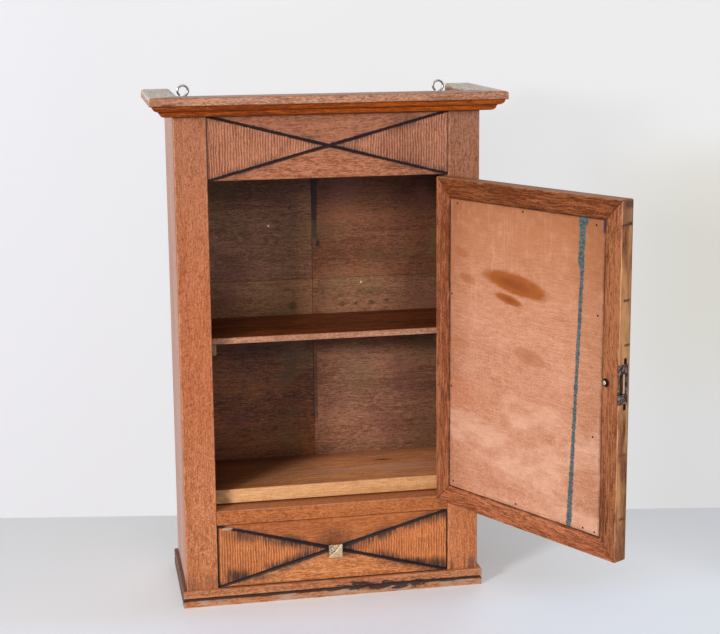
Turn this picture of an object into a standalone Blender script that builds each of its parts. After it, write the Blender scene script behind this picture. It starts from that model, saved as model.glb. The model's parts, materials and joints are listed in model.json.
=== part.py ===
"""Hanging medicine cabinet in oak.

A face-framed case with a shelf, a mirror door on two butt hinges with a turning latch, a drawer,
a mitred cornice and plinth, and two screw eyes to hang it by. Metres, +Z up, +Y to the back.
The origin is the middle of the underside. The door stands open, as it is left on a table.
"""

import math

import bmesh
import bpy
from mathutils import Matrix, Vector

# Case
BODY_WIDTH = 0.365
BODY_DEPTH = 0.148
STILE_WIDTH = 0.038
FACE_THICKNESS = 0.018
SIDE_THICKNESS = 0.016
BASE_HEIGHT = 0.0205
DRAWER_OPENING = 0.080
RAIL_HEIGHT = 0.018
RAIL_DEPTH = 0.040
DOOR_OPENING = 0.403
FRIEZE_HEIGHT = 0.083
TOP_THICKNESS = 0.016
BACK_THICKNESS = 0.0075
BACK_REBATE_WIDTH = 0.008
LOWER_BACK_HEIGHT = 0.374
JOINT_GAP = 0.0003
EDGE_EASE = 0.0008

# Inside the compartment
FLOOR_THICKNESS = 0.018
FLOOR_LIFT = 0.0025
FLOOR_SETBACK = 0.002
SHELF_HEIGHT = 0.189
SHELF_THICKNESS = 0.0075
SHELF_SETBACK = 0.006
BEARER_WIDTH = 0.029
BEARER_HEIGHT = 0.013
KICKER_WIDTH = 0.036

# Cornice and plinth
CORNICE_HEIGHT = 0.023
CORNICE_DROP = 0.007
CORNICE_OVERHANG = 0.028
CORNICE_LIP = 0.0055
FASCIA_HEIGHT = 0.0095
FASCIA_ROUND = 0.003
FASCIA_QUIRK = 0.003
OVOLO_WIDTH = 0.0075
COVE_WIDTH = 0.0065
COVE_STEP = 0.001
PLINTH_PROUD = 0.005
PLINTH_GROOVE_WIDTH = 0.0036
PLINTH_GROOVE_DEPTH = 0.002
CARVED_WIDTH = 0.0046
CARVED_DEPTH = 0.0019

# Door
DOOR_GAP = 0.001
DOOR_FRAME_WIDTH = 0.0235
DOOR_LIP = 0.009
MIRROR_THICKNESS = 0.003
BACKING_THICKNESS = 0.003
BACKING_RECESS = 0.0008
PANEL_EDGE_GAP = 0.0005
DOOR_OPEN_ANGLE = math.radians(119.0)

# Butt hinges
HINGE_LENGTH = 0.050
HINGE_INSET = 0.055
LEAF_DEPTH = 0.014
LEAF_THICKNESS = 0.0012
BARREL_RADIUS = 0.0026
BARREL_GAP = 0.0004
PIN_RADIUS = 0.0012
PIN_GAP = 0.0002
PIN_HEAD = 0.001

# Knobs and latch
KNOB_SIDE = 0.0165
KNOB_EDGE = 0.004
KNOB_POINT = 0.0035
KNOB_NECK_RADIUS = 0.0045
KNOB_NECK_LENGTH = 0.006
KNOB_BORE_DEPTH = 0.008
SPINDLE_RADIUS = 0.002
SPINDLE_HEAD_RADIUS = 0.0042
SPINDLE_HEAD_HEIGHT = 0.002
SPINDLE_MARGIN = 0.0045
LATCH_TURN = math.radians(90.0)
CAM_HUB_RADIUS = 0.0032
CAM_REACH = 0.0085
CAM_NOSE_WIDTH = 0.003
CAM_THICKNESS = 0.0024
BOLT_THICKNESS = 0.003
BOLT_THROW = 0.0055
BOLT_BAR = 0.002
MORTISE_WALL = 0.0015
MORTISE_OVERRUN = 0.0065
MORTISE_OVERRUN_DEPTH = 0.003
LATCH_POCKET_DEPTH = 0.007
PLATE_THICKNESS = 0.0012
PLATE_INSET = 0.0006
PLATE_REAR_RIM = 0.0012
PLATE_FRONT_RIM = 0.0025
PLATE_END = 0.0106
PLATE_WINDOW_GAP = 0.0006
SCREW_HEAD_RADIUS = 0.0026
SCREW_SHANK_RADIUS = 0.0014
SCREW_LENGTH = 0.010
SCREW_DOME = 0.0005
SCREW_SLOT_WIDTH = 0.0007
STRIKE_GAP = 0.0008

# Drawer
DRAWER_SIDE_GAP = 0.0012
DRAWER_EDGE_GAP = 0.0008
DRAWER_BACK_GAP = 0.0122
DRAWER_SIDE_THICKNESS = 0.009
DRAWER_SIDE_DROP = 0.008
DRAWER_BOTTOM_THICKNESS = 0.004
DRAWER_BOTTOM_LIFT = 0.006
DRAWER_GROOVE_DEPTH = 0.004
GUIDE_HEIGHT = 0.012

# Screw eyes
EYE_FROM_SIDE = 0.0055
EYE_INSET = 0.028
EYE_RADIUS = 0.0065
EYE_WIRE_RADIUS = 0.0014
EYE_NECK = 0.0085
EYE_SHANK = 0.013

# Levels and planes that the sizes above give
FRONT = -BODY_DEPTH / 2
BACK = BODY_DEPTH / 2
FRAME_BACK = FRONT + FACE_THICKNESS
HALF = BODY_WIDTH / 2
INSIDE = HALF - SIDE_THICKNESS
MOUTH = HALF - STILE_WIDTH
INNER_BACK = BACK - BACK_THICKNESS - JOINT_GAP
RAIL_BOTTOM = BASE_HEIGHT + DRAWER_OPENING
DOOR_SILL = RAIL_BOTTOM + RAIL_HEIGHT
FRIEZE_BOTTOM = DOOR_SILL + DOOR_OPENING
CASE_TOP = FRIEZE_BOTTOM + FRIEZE_HEIGHT
CORNICE_BOTTOM = CASE_TOP - CORNICE_DROP
FLOOR_BOTTOM = DOOR_SILL + FLOOR_LIFT
FLOOR_TOP = FLOOR_BOTTOM + FLOOR_THICKNESS
SHELF_TOP = FLOOR_TOP + SHELF_HEIGHT
FLOOR_FRONT = FRAME_BACK + FLOOR_SETBACK
SHELF_FRONT = FRAME_BACK + SHELF_SETBACK
EYE_X = INSIDE - EYE_FROM_SIDE
EYE_Y = BACK - EYE_INSET
OVERCUT = 0.004
ROUND_STEPS = 16

for stale in list(bpy.data.objects):
    bpy.data.objects.remove(stale)

PARTS = bpy.data.collections.new("medicine_cabinet")
CUTTERS = bpy.data.collections.new("medicine_cabinet_cutters")
bpy.context.scene.collection.children.link(PARTS)
bpy.context.scene.collection.children.link(CUTTERS)


def finish(name, colour, roughness, metallic=0.0):
    """A plain surface of one colour."""
    made = bpy.data.materials.new(name)
    made.use_nodes = True
    shader = made.node_tree.nodes["Principled BSDF"]
    shader.inputs["Base Color"].default_value = (*colour, 1.0)
    shader.inputs["Roughness"].default_value = roughness
    shader.inputs["Metallic"].default_value = metallic
    return made


OAK = finish("varnished_oak", (0.42, 0.17, 0.07), 0.45)
OAK_MOULDING = finish("dark_varnished_oak", (0.30, 0.09, 0.02), 0.35)
OAK_SIDE = finish("sun_faded_oak", (0.55, 0.28, 0.17), 0.55)
OAK_INSIDE = finish("stained_oak", (0.10, 0.05, 0.03), 0.55)
OAK_RAW = finish("raw_oak", (0.52, 0.30, 0.14), 0.7)
PLYWOOD = finish("plywood", (0.58, 0.27, 0.15), 0.6)
MIRROR = finish("silvered_glass", (0.85, 0.87, 0.87), 0.03, 1.0)
STEEL = finish("zinc_plated_steel", (0.55, 0.55, 0.53), 0.35, 1.0)
IRON = finish("dark_iron", (0.10, 0.08, 0.07), 0.5, 1.0)
BRASS = finish("aged_brass", (0.55, 0.45, 0.28), 0.35, 1.0)


class Assembly:
    """A rigid group of pieces that share a parent empty on the axis they move about."""

    def __init__(self, name, pivot, parent=None):
        self.at = Vector(pivot)
        self.empty = bpy.data.objects.new(name, None)
        self.empty.empty_display_size = 0.02
        self.empty.location = self.at
        if parent:
            self.empty.parent = parent.empty
            self.empty.location = self.at - parent.at
        PARTS.objects.link(self.empty)


def add(name, mesh, material, assembly, matrix):
    """Makes an object. Its matrix is in the frame of the closed cabinet; no material makes it a cutter."""
    obj = bpy.data.objects.new(name, mesh)
    if material:
        PARTS.objects.link(obj)
        mesh.materials.append(material)
    else:
        CUTTERS.objects.link(obj)
        obj.hide_render = True
        obj.display_type = "WIRE"
    obj.parent = assembly.empty
    obj.matrix_basis = Matrix.Translation(-assembly.at) @ matrix
    return obj


def ease_edges(obj, width):
    """Takes the sharpness off every edge, as sandpaper does."""
    bevel = obj.modifiers.new("eased_edges", "BEVEL")
    bevel.width = width
    bevel.segments = 1
    bevel.limit_method = "ANGLE"
    bevel.angle_limit = math.radians(40)


def cut(obj, *cutters):
    for cutter in cutters:
        boolean = obj.modifiers.new(cutter.name, "BOOLEAN")
        boolean.operation = "DIFFERENCE"
        boolean.solver = "EXACT"
        boolean.object = cutter


def join(obj, *others):
    for other in others:
        boolean = obj.modifiers.new(other.name, "BOOLEAN")
        boolean.operation = "UNION"
        boolean.solver = "EXACT"
        boolean.object = other


def box(name, low, high, material, assembly, ease=EDGE_EASE):
    """A board between two opposite corners, given in any order."""
    corners = [sorted(pair) for pair in zip(low, high)]
    low = Vector(pair[0] for pair in corners)
    high = Vector(pair[1] for pair in corners)
    mesh = bpy.data.meshes.new(name)
    work = bmesh.new()
    bmesh.ops.create_cube(work, size=1.0, matrix=Matrix.Diagonal((*(high - low), 1.0)))
    work.to_mesh(mesh)
    work.free()
    obj = add(name, mesh, material, assembly, Matrix.Translation((low + high) / 2))
    if material and ease:
        ease_edges(obj, ease)
    return obj


def slot(name, low, high, assembly):
    """A box that cuts."""
    return box(name, low, high, None, assembly)


def rod(name, base, direction, radius, length, material, assembly):
    """A round bar from base along direction. With no material it is a drill."""
    mesh = bpy.data.meshes.new(name)
    work = bmesh.new()
    lift = Matrix.Translation((0.0, 0.0, length / 2))
    bmesh.ops.create_cone(work, cap_ends=True, segments=ROUND_STEPS, radius1=radius, radius2=radius,
                          depth=length, matrix=lift)
    work.to_mesh(mesh)
    work.free()
    turn = Vector(direction).to_track_quat("Z", "Y").to_matrix().to_4x4()
    return add(name, mesh, material, assembly, Matrix.Translation(base) @ turn)


def axes_matrix(origin, along_x, along_y):
    """The placing of a flat drawing: where its own X, its Y and so its thickness point."""
    x, y = Vector(along_x).normalized(), Vector(along_y).normalized()
    rows = Matrix((x, y, x.cross(y))).transposed().to_4x4()
    return Matrix.Translation(origin) @ rows


def prism(name, outlines, depth, matrix, material, assembly, trims=()):
    """Flat outlines, the first one outer and the others holes, thickened to both sides of their plane.

    Each trim is a point and a direction in the closed cabinet's frame: what lies beyond it is sawn off.
    """
    drawing = bpy.data.curves.new(name, "CURVE")
    drawing.dimensions = "2D"
    drawing.fill_mode = "BOTH"
    drawing.extrude = depth / 2
    for outline in outlines:
        spline = drawing.splines.new("POLY")
        spline.points.add(len(outline) - 1)
        for knot, (u, v) in zip(spline.points, outline):
            knot.co = (u, v, 0.0, 1.0)
        spline.use_cyclic_u = True
    guide = bpy.data.objects.new(name + "_drawing", drawing)
    bpy.context.scene.collection.objects.link(guide)
    graph = bpy.context.evaluated_depsgraph_get()
    mesh = bpy.data.meshes.new_from_object(guide.evaluated_get(graph))
    bpy.data.objects.remove(guide)
    mesh.name = name
    mesh.materials.clear()
    work = bmesh.new()
    work.from_mesh(mesh)
    bmesh.ops.remove_doubles(work, verts=work.verts, dist=1e-6)
    inverse = matrix.inverted()
    for point, direction in trims:
        everything = work.verts[:] + work.edges[:] + work.faces[:]
        saw_point = inverse @ Vector(point)
        saw_direction = inverse.to_3x3() @ Vector(direction)
        bmesh.ops.bisect_plane(work, geom=everything, dist=1e-7, clear_outer=True,
                               plane_co=saw_point, plane_no=saw_direction)
        rim = [edge for edge in work.edges if edge.is_boundary]
        bmesh.ops.holes_fill(work, edges=rim)
    bmesh.ops.recalc_face_normals(work, faces=work.faces)
    work.to_mesh(mesh)
    work.free()
    return add(name, mesh, material, assembly, matrix)


def turned(name, profile, matrix, material, assembly):
    """A profile of (radius, height) points, read down its outer side, turned round its own Z."""
    mesh = bpy.data.meshes.new(name)
    points = [(radius, 0.0, height) for radius, height in profile]
    mesh.from_pydata(points, [(i, i + 1) for i in range(len(points) - 1)], [])
    obj = add(name, mesh, material, assembly, matrix)
    lathe = obj.modifiers.new("lathe", "SCREW")
    lathe.axis = "Z"
    lathe.angle = math.tau
    lathe.steps = ROUND_STEPS
    lathe.render_steps = ROUND_STEPS
    lathe.use_merge_vertices = True
    lathe.merge_threshold = 1e-5
    lathe.use_smooth_shade = True
    return obj


def arc(centre, radii, start, end, steps):
    """Points on an ellipse from one angle to another, in degrees."""
    angles = [math.radians(start + (end - start) * i / steps) for i in range(steps + 1)]
    return [(centre[0] + radii[0] * math.cos(a), centre[1] + radii[1] * math.sin(a)) for a in angles]


def rectangle(low, high):
    return [low, (high[0], low[1]), high, (low[0], high[1])]


def placed_along(base, direction):
    """The placing of a turned piece: its foot, and where its Z points."""
    return Matrix.Translation(base) @ Vector(direction).to_track_quat("Z", "Y").to_matrix().to_4x4()


def slotted_screw(name, seat, direction, head_height, dome, material, assembly):
    """A wood screw whose flat head sinks head_height below seat, with a slot across its top."""
    radius = SCREW_HEAD_RADIUS
    crown = arc((0.0, 0.0), (radius, dome), 90, 0, 3) if dome else [(0.0, 0.0), (radius, 0.0)]
    neck = -head_height
    tip = neck - SCREW_LENGTH
    profile = crown + [(radius, neck), (SCREW_SHANK_RADIUS, neck),
                       (SCREW_SHANK_RADIUS, tip + SCREW_SHANK_RADIUS), (0.0, tip)]
    screw = turned(name, profile, placed_along(seat, direction), material, assembly)
    seat, direction = Vector(seat), Vector(direction)
    width = Vector((0.0, 0.0, 1.0)) * SCREW_SLOT_WIDTH / 2
    across = direction.cross(Vector((0.0, 0.0, 1.0))) * (radius + OVERCUT)
    low = seat - across - width + direction * (dome - head_height / 2)
    high = seat + across + width + direction * (dome + OVERCUT)
    cut(screw, slot(name + "_slot", low, high, assembly))
    return screw


def screw_hole(name, seat, direction, assembly):
    """The drill for a screw's shank."""
    radius = SCREW_SHANK_RADIUS + JOINT_GAP
    back = -Vector(direction)
    return rod(name, Vector(seat) - back * OVERCUT, back, radius,
               SCREW_LENGTH + PLATE_THICKNESS + OVERCUT + JOINT_GAP, None, assembly)


def groove(name, start, end, face, width, depth, assembly):
    """A V-shaped carving knife's path between two points of a face whose outward direction is face."""
    start, end, face = Vector(start), Vector(end), Vector(face)
    run = (end - start).normalized()
    lift = OVERCUT / depth
    section = [(0.0, -depth), (width / 2 * (1 + lift), OVERCUT), (-width / 2 * (1 + lift), OVERCUT)]
    matrix = axes_matrix((start + end) / 2, face.cross(run), face)
    return prism(name, [section], (end - start).length + 2 * width, matrix, None, assembly)


def carve_cross(board, low, high, assembly):
    """Two grooves from corner to corner of a rectangle on the board's front."""
    for name, left, right in (("rising", low[1], high[1]), ("falling", high[1], low[1])):
        path = groove(f"{board.name}_{name}_groove", (low[0], FRONT, left), (high[0], FRONT, right),
                      (0.0, -1.0, 0.0), CARVED_WIDTH, CARVED_DEPTH, assembly)
        cut(board, path)


def square_knob(name, seat, direction, assembly):
    """A cushion-fronted square knob on a round neck, bored from behind for its screw."""
    matrix = placed_along(seat, direction)
    direction = Vector(direction)
    head = box(name, (-KNOB_SIDE / 2, -KNOB_SIDE / 2, 0.0), (KNOB_SIDE / 2, KNOB_SIDE / 2, KNOB_EDGE),
               BRASS, assembly, ease=0.0)
    head.matrix_basis = (Matrix.Translation(-assembly.at) @ matrix
                         @ Matrix.Translation((0.0, 0.0, KNOB_NECK_LENGTH + KNOB_EDGE / 2)))
    work = bmesh.new()
    work.from_mesh(head.data)
    front = max(work.faces, key=lambda face: face.calc_center_median().z)
    poked = bmesh.ops.poke(work, faces=[front])
    poked["verts"][0].co.z += KNOB_POINT
    work.to_mesh(head.data)
    work.free()
    seat = Vector(seat)
    neck = rod(name + "_neck", seat, direction, KNOB_NECK_RADIUS, KNOB_NECK_LENGTH + KNOB_EDGE / 2,
               None, assembly)
    bore = rod(name + "_bore", seat - direction * OVERCUT, direction, SPINDLE_RADIUS + JOINT_GAP,
               KNOB_BORE_DEPTH + OVERCUT, None, assembly)
    join(head, neck)
    cut(head, bore)
    return head


def headed_bar(name, seat, direction, length, material, assembly):
    """A round bar with a domed head at seat; the bar runs back against direction."""
    dome = arc((0.0, 0.0), (SPINDLE_HEAD_RADIUS, SPINDLE_HEAD_HEIGHT), 90, 0, 4)
    profile = dome + [(SPINDLE_RADIUS, 0.0), (SPINDLE_RADIUS, -length), (0.0, -length)]
    return turned(name, profile, placed_along(seat, direction), material, assembly)


SIDES = (("left", -1), ("right", 1))
CASE = Assembly("case", (0.0, 0.0, 0.0))


def case_boards():
    for side, sign in SIDES:
        panel = box(f"{side}_side_panel", (sign * INSIDE, FRAME_BACK + JOINT_GAP, 0.0),
                    (sign * HALF, BACK, CASE_TOP), OAK_SIDE, CASE)
        rebate = slot(f"{side}_back_rebate", (sign * (INSIDE - OVERCUT), INNER_BACK, -OVERCUT),
                      (sign * (INSIDE + BACK_REBATE_WIDTH), BACK + OVERCUT, CASE_TOP + OVERCUT), CASE)
        cut(panel, rebate)
    inside = INSIDE - JOINT_GAP
    mouth = MOUTH - JOINT_GAP
    back = INNER_BACK - JOINT_GAP
    frieze = box("frieze_rail", (-mouth, FRONT, FRIEZE_BOTTOM), (mouth, FRAME_BACK, CASE_TOP), OAK, CASE)
    carve_cross(frieze, (-mouth, FRIEZE_BOTTOM), (mouth, CORNICE_BOTTOM), CASE)
    box("drawer_rail", (-mouth, FRONT, RAIL_BOTTOM), (mouth, FRONT + RAIL_DEPTH, DOOR_SILL), OAK, CASE)
    top = box("top_board", (-inside, FRAME_BACK + JOINT_GAP, CASE_TOP - TOP_THICKNESS),
              (inside, back, CASE_TOP), OAK_INSIDE, CASE)
    for side, sign in SIDES:
        hole = rod(f"{side}_eye_hole", (sign * EYE_X, EYE_Y, CASE_TOP - EYE_SHANK),
                   (0.0, 0.0, 1.0), EYE_WIRE_RADIUS + JOINT_GAP, EYE_SHANK + OVERCUT, None, CASE)
        cut(top, hole)
    notch = FRAME_BACK + JOINT_GAP
    plan = [(-mouth, FRONT), (mouth, FRONT), (mouth, notch), (inside, notch), (inside, back),
            (-inside, back), (-inside, notch), (-mouth, notch)]
    flat = axes_matrix((0.0, 0.0, BASE_HEIGHT / 2), (1.0, 0.0, 0.0), (0.0, 1.0, 0.0))
    prism("bottom_board", [plan], BASE_HEIGHT, flat, OAK_INSIDE, CASE)


def inner_boards():
    inside = INSIDE - JOINT_GAP
    back = INNER_BACK - JOINT_GAP
    box("compartment_floor", (-inside, FLOOR_FRONT, FLOOR_BOTTOM), (inside, back, FLOOR_TOP), OAK_RAW, CASE)
    shelf_bottom = SHELF_TOP - SHELF_THICKNESS
    box("shelf", (-inside, SHELF_FRONT, shelf_bottom), (inside, back, SHELF_TOP), OAK_INSIDE, CASE)
    rail_back = FRONT + RAIL_DEPTH + JOINT_GAP
    guide_bottom = BASE_HEIGHT + JOINT_GAP
    for side, sign in SIDES:
        wall = sign * inside
        bearer_top = shelf_bottom - JOINT_GAP
        box(f"shelf_bearer_{side}", (wall, SHELF_FRONT, bearer_top - BEARER_HEIGHT),
            (wall - sign * BEARER_WIDTH, back, bearer_top), OAK_RAW, CASE)
        box(f"drawer_kicker_{side}", (wall, rail_back, RAIL_BOTTOM),
            (wall - sign * KICKER_WIDTH, back, FLOOR_BOTTOM - JOINT_GAP), OAK_INSIDE, CASE)
        box(f"drawer_guide_{side}", (wall, FRAME_BACK + JOINT_GAP, guide_bottom),
            (sign * MOUTH, back, guide_bottom + GUIDE_HEIGHT), OAK_INSIDE, CASE)
    outer = INSIDE + BACK_REBATE_WIDTH - JOINT_GAP
    seam = JOINT_GAP / 2
    rows = (("lower", 0.0, LOWER_BACK_HEIGHT - seam), ("upper", LOWER_BACK_HEIGHT + seam, CASE_TOP))
    for row, bottom, top in rows:
        for side, sign in SIDES:
            box(f"back_board_{row}_{side}", (sign * seam, INNER_BACK + JOINT_GAP, bottom),
                (sign * outer, BACK, top), OAK_INSIDE, CASE, ease=EDGE_EASE / 2)


def cornice_profile():
    """Out from the case and up: soffit, two rounded mouldings with a step between, fascia with a soft top."""
    ovolo_out = CORNICE_OVERHANG - FASCIA_QUIRK
    ovolo_in = ovolo_out - OVOLO_WIDTH
    soffit = ovolo_in - COVE_STEP - COVE_WIDTH
    fascia_bottom = CORNICE_HEIGHT - FASCIA_HEIGHT
    step_up = fascia_bottom / 2
    lower = arc((soffit, step_up - COVE_STEP), (COVE_WIDTH, step_up - COVE_STEP), -90, 0, 4)
    upper = arc((ovolo_in, fascia_bottom), (ovolo_out - ovolo_in, fascia_bottom - step_up), -90, 0, 4)
    nose = arc((CORNICE_OVERHANG - FASCIA_ROUND, CORNICE_HEIGHT - FASCIA_ROUND),
               (FASCIA_ROUND, FASCIA_ROUND), 0, 90, 4)
    seat = CORNICE_DROP + JOINT_GAP
    inner = [(-CORNICE_LIP, CORNICE_HEIGHT), (-CORNICE_LIP, seat), (JOINT_GAP, seat), (JOINT_GAP, 0.0)]
    return lower + upper + [(CORNICE_OVERHANG, fascia_bottom)] + nose + inner


def plinth_profile():
    """Out from the case and up: a flat strip with a V-groove along its middle and an eased top."""
    middle = BASE_HEIGHT / 2
    half = PLINTH_GROOVE_WIDTH / 2
    return [(JOINT_GAP, 0.0), (PLINTH_PROUD, 0.0), (PLINTH_PROUD, middle - half),
            (PLINTH_PROUD - PLINTH_GROOVE_DEPTH, middle), (PLINTH_PROUD, middle + half),
            (PLINTH_PROUD, BASE_HEIGHT - EDGE_EASE), (PLINTH_PROUD - EDGE_EASE, BASE_HEIGHT),
            (JOINT_GAP, BASE_HEIGHT)]


def mitred_surround(name, profile, reach, level, material):
    """A moulding round the front and both sides, mitred at the two front corners."""
    up = (0.0, 0.0, 1.0)
    gap = JOINT_GAP / 2
    width = BODY_WIDTH + 2 * (reach + OVERCUT)
    front_ends = [((sign * (HALF - gap), FRONT, level), (sign, 1.0, 0.0)) for _, sign in SIDES]
    front = axes_matrix((0.0, FRONT, level), (0.0, -1.0, 0.0), up)
    prism(f"{name}_front", [profile], width, front, material, CASE, front_ends)
    for side, sign in SIDES:
        start = FRONT - reach - OVERCUT
        place = axes_matrix((sign * HALF, (start + BACK) / 2, level), (sign, 0.0, 0.0), up)
        front_end = ((sign * (HALF + gap), FRONT, level), (-sign, -1.0, 0.0))
        prism(f"{name}_{side}", [profile], BACK - start, place, material, CASE, [front_end])


def screw_eyes():
    """Wire eyes: a shank that stands in the top board, and a loop bent to lie parallel to the wall."""
    foot = CASE_TOP - EYE_SHANK + JOINT_GAP
    centre = CASE_TOP + EYE_NECK + EYE_RADIUS
    first, last, steps = -66.0, 238.0, 22
    loop = arc((0.0, centre), (EYE_RADIUS, EYE_RADIUS), first, last, steps)
    bend = CASE_TOP + EYE_NECK / 2
    for side, sign in SIDES:
        wire = bpy.data.curves.new(f"screw_eye_{side}", "CURVE")
        wire.dimensions = "3D"
        wire.bevel_depth = EYE_WIRE_RADIUS
        wire.bevel_resolution = 2
        wire.use_fill_caps = True
        wire.materials.append(STEEL)
        path = [(0.0, foot), (0.0, CASE_TOP), (0.0, bend), (EYE_RADIUS * 0.1, bend + EYE_NECK * 0.32)] + loop
        spline = wire.splines.new("POLY")
        spline.points.add(len(path) - 1)
        for knot, (across, height) in zip(spline.points, path):
            knot.co = (across, 0.0, height, 1.0)
        eye = bpy.data.objects.new(f"screw_eye_{side}", wire)
        PARTS.objects.link(eye)
        eye.parent = CASE.empty
        eye.location = (sign * EYE_X, EYE_Y, 0.0)


# The door as it hangs when shut, in the frame of the case
DOOR_LEFT = -MOUTH + DOOR_GAP
DOOR_RIGHT = MOUTH - DOOR_GAP
DOOR_BOTTOM = DOOR_SILL + DOOR_GAP
DOOR_TOP = FRIEZE_BOTTOM - DOOR_GAP
DOOR_BACK = FRONT + FACE_THICKNESS
REBATE_DEPTH = BACKING_RECESS + BACKING_THICKNESS + MIRROR_THICKNESS + 2 * JOINT_GAP
PIN_X = MOUTH - DOOR_GAP / 2
PIN_Y = FRONT - BARREL_RADIUS - BARREL_GAP
LATCH_Z = (DOOR_BOTTOM + DOOR_TOP) / 2
LATCH_BACKSET = DOOR_FRAME_WIDTH - SPINDLE_MARGIN
LATCH_X = DOOR_LEFT + LATCH_BACKSET
BOLT_BACK = DOOR_BACK - REBATE_DEPTH - MORTISE_WALL
BOLT_FRONT = BOLT_BACK - BOLT_THICKNESS
BOLT_Y = (BOLT_BACK + BOLT_FRONT) / 2
BOLT_HALF = CAM_REACH + JOINT_GAP + BOLT_BAR
PLATE_WINDOW_HALF = BOLT_HALF + PLATE_WINDOW_GAP
PLATE_HALF = PLATE_WINDOW_HALF + PLATE_END
PLATE_SCREW_Z = (PLATE_WINDOW_HALF + PLATE_HALF) / 2
PLATE_FRONT = DOOR_BACK - BOLT_FRONT + PLATE_WINDOW_GAP + PLATE_FRONT_RIM
STRIKE_DEPTH = BOLT_THROW + JOINT_GAP

DOOR = Assembly("door_hinge_axis", (PIN_X, PIN_Y, DOOR_BOTTOM))
KNOB = Assembly("latch_knob_axis", (LATCH_X, FRONT, LATCH_Z), DOOR)
BOLT = Assembly("latch_bolt_slide", (LATCH_X, BOLT_Y, LATCH_Z), DOOR)


def door_frame():
    """Four members of one L-shaped section, mitred at the corners. The rebate behind takes the mirror."""
    inner = DOOR_FRAME_WIDTH + DOOR_LIP
    shoulder = FACE_THICKNESS - REBATE_DEPTH
    section = [(0.0, 0.0), (inner, 0.0), (inner, shoulder), (DOOR_FRAME_WIDTH, shoulder),
               (DOOR_FRAME_WIDTH, FACE_THICKNESS), (0.0, FACE_THICKNESS)]
    depth = (0.0, 1.0, 0.0)
    width, height = DOOR_RIGHT - DOOR_LEFT, DOOR_TOP - DOOR_BOTTOM
    middle_x, middle_z = (DOOR_LEFT + DOOR_RIGHT) / 2, (DOOR_BOTTOM + DOOR_TOP) / 2
    gap = JOINT_GAP / 2
    made = {}
    for name, edge, inward in (("top", DOOR_TOP, -1), ("bottom", DOOR_BOTTOM, 1)):
        place = axes_matrix((middle_x, FRONT, edge), (0.0, 0.0, inward), depth)
        ends = [((end - sign * gap, FRONT, edge), (sign, 0.0, inward))
                for end, sign in ((DOOR_LEFT, -1), (DOOR_RIGHT, 1))]
        made[name] = prism(f"door_{name}_rail", [section], width, place, OAK, DOOR, ends)
    for name, edge, inward in (("lock", DOOR_LEFT, 1), ("hinge", DOOR_RIGHT, -1)):
        place = axes_matrix((edge, FRONT, middle_z), (inward, 0.0, 0.0), depth)
        ends = [((edge, FRONT, end - sign * gap), (inward, 0.0, sign))
                for end, sign in ((DOOR_BOTTOM, -1), (DOOR_TOP, 1))]
        made[name] = prism(f"door_{name}_stile", [section], height, place, OAK, DOOR, ends)
    for member in made.values():
        ease_edges(member, EDGE_EASE)
    edge = DOOR_FRAME_WIDTH + PANEL_EDGE_GAP
    seat = FRONT + shoulder + JOINT_GAP
    behind = seat + MIRROR_THICKNESS + JOINT_GAP
    low, high = (DOOR_LEFT + edge, DOOR_BOTTOM + edge), (DOOR_RIGHT - edge, DOOR_TOP - edge)
    box("mirror_glass", (low[0], seat, low[1]), (high[0], seat + MIRROR_THICKNESS, high[1]), MIRROR, DOOR,
        ease=EDGE_EASE / 2)
    box("door_backing_panel", (low[0], behind, low[1]), (high[0], behind + BACKING_THICKNESS, high[1]),
        PLYWOOD, DOOR, ease=EDGE_EASE / 2)
    return made


def butt_hinges(stile, door_stile):
    """Two hinges. The case leaf has the outer knuckles and the pin; the door leaf has the middle one."""
    knuckle = HINGE_LENGTH / 3
    levels = (("lower", DOOR_BOTTOM + HINGE_INSET), ("upper", DOOR_TOP - HINGE_INSET - HINGE_LENGTH))
    up = (0.0, 0.0, 1.0)
    for level, bottom in levels:
        top = bottom + HINGE_LENGTH
        middle = (bottom + knuckle, top - knuckle)
        outer = ((bottom - OVERCUT, middle[0]), (middle[1], top + OVERCUT))
        for owner, face, sign, assembly, wood in (("case", MOUTH, 1, CASE, stile),
                                                  ("door", DOOR_RIGHT, -1, DOOR, door_stile)):
            name = f"hinge_{level}_{owner}_leaf"
            leaf = box(name, (face, PIN_Y, bottom), (face + sign * LEAF_THICKNESS, FRONT + LEAF_DEPTH, top),
                       IRON, assembly, ease=0.0)
            barrel = rod(name + "_barrel", (PIN_X, PIN_Y, bottom), up, BARREL_RADIUS, HINGE_LENGTH,
                         None, assembly)
            bore = rod(name + "_bore", (PIN_X, PIN_Y, bottom - OVERCUT), up, PIN_RADIUS + PIN_GAP,
                       HINGE_LENGTH + 2 * OVERCUT, None, assembly)
            join(leaf, barrel)
            cut(leaf, bore)
            rooms = (middle,) if owner == "case" else outer
            for count, (low, high) in enumerate(rooms):
                low, high = low - JOINT_GAP / 2, high + JOINT_GAP / 2
                cut(leaf, rod(f"{name}_room_{count}", (PIN_X, PIN_Y, low), up, BARREL_RADIUS + BARREL_GAP,
                              high - low, None, assembly))
            cut(wood, slot(name + "_recess", (face - sign * OVERCUT, FRONT - OVERCUT, bottom - JOINT_GAP),
                           (face + sign * (LEAF_THICKNESS + JOINT_GAP), FRONT + LEAF_DEPTH + JOINT_GAP,
                            top + JOINT_GAP), assembly))
        head = BARREL_RADIUS - BARREL_GAP
        profile = (arc((0.0, HINGE_LENGTH + JOINT_GAP), (head, PIN_HEAD), 90, 0, 3)
                   + [(PIN_RADIUS, HINGE_LENGTH + JOINT_GAP), (PIN_RADIUS, -PIN_HEAD), (0.0, -PIN_HEAD)])
        turned(f"hinge_{level}_pin", profile, placed_along((PIN_X, PIN_Y, bottom), up), IRON, CASE)


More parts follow.
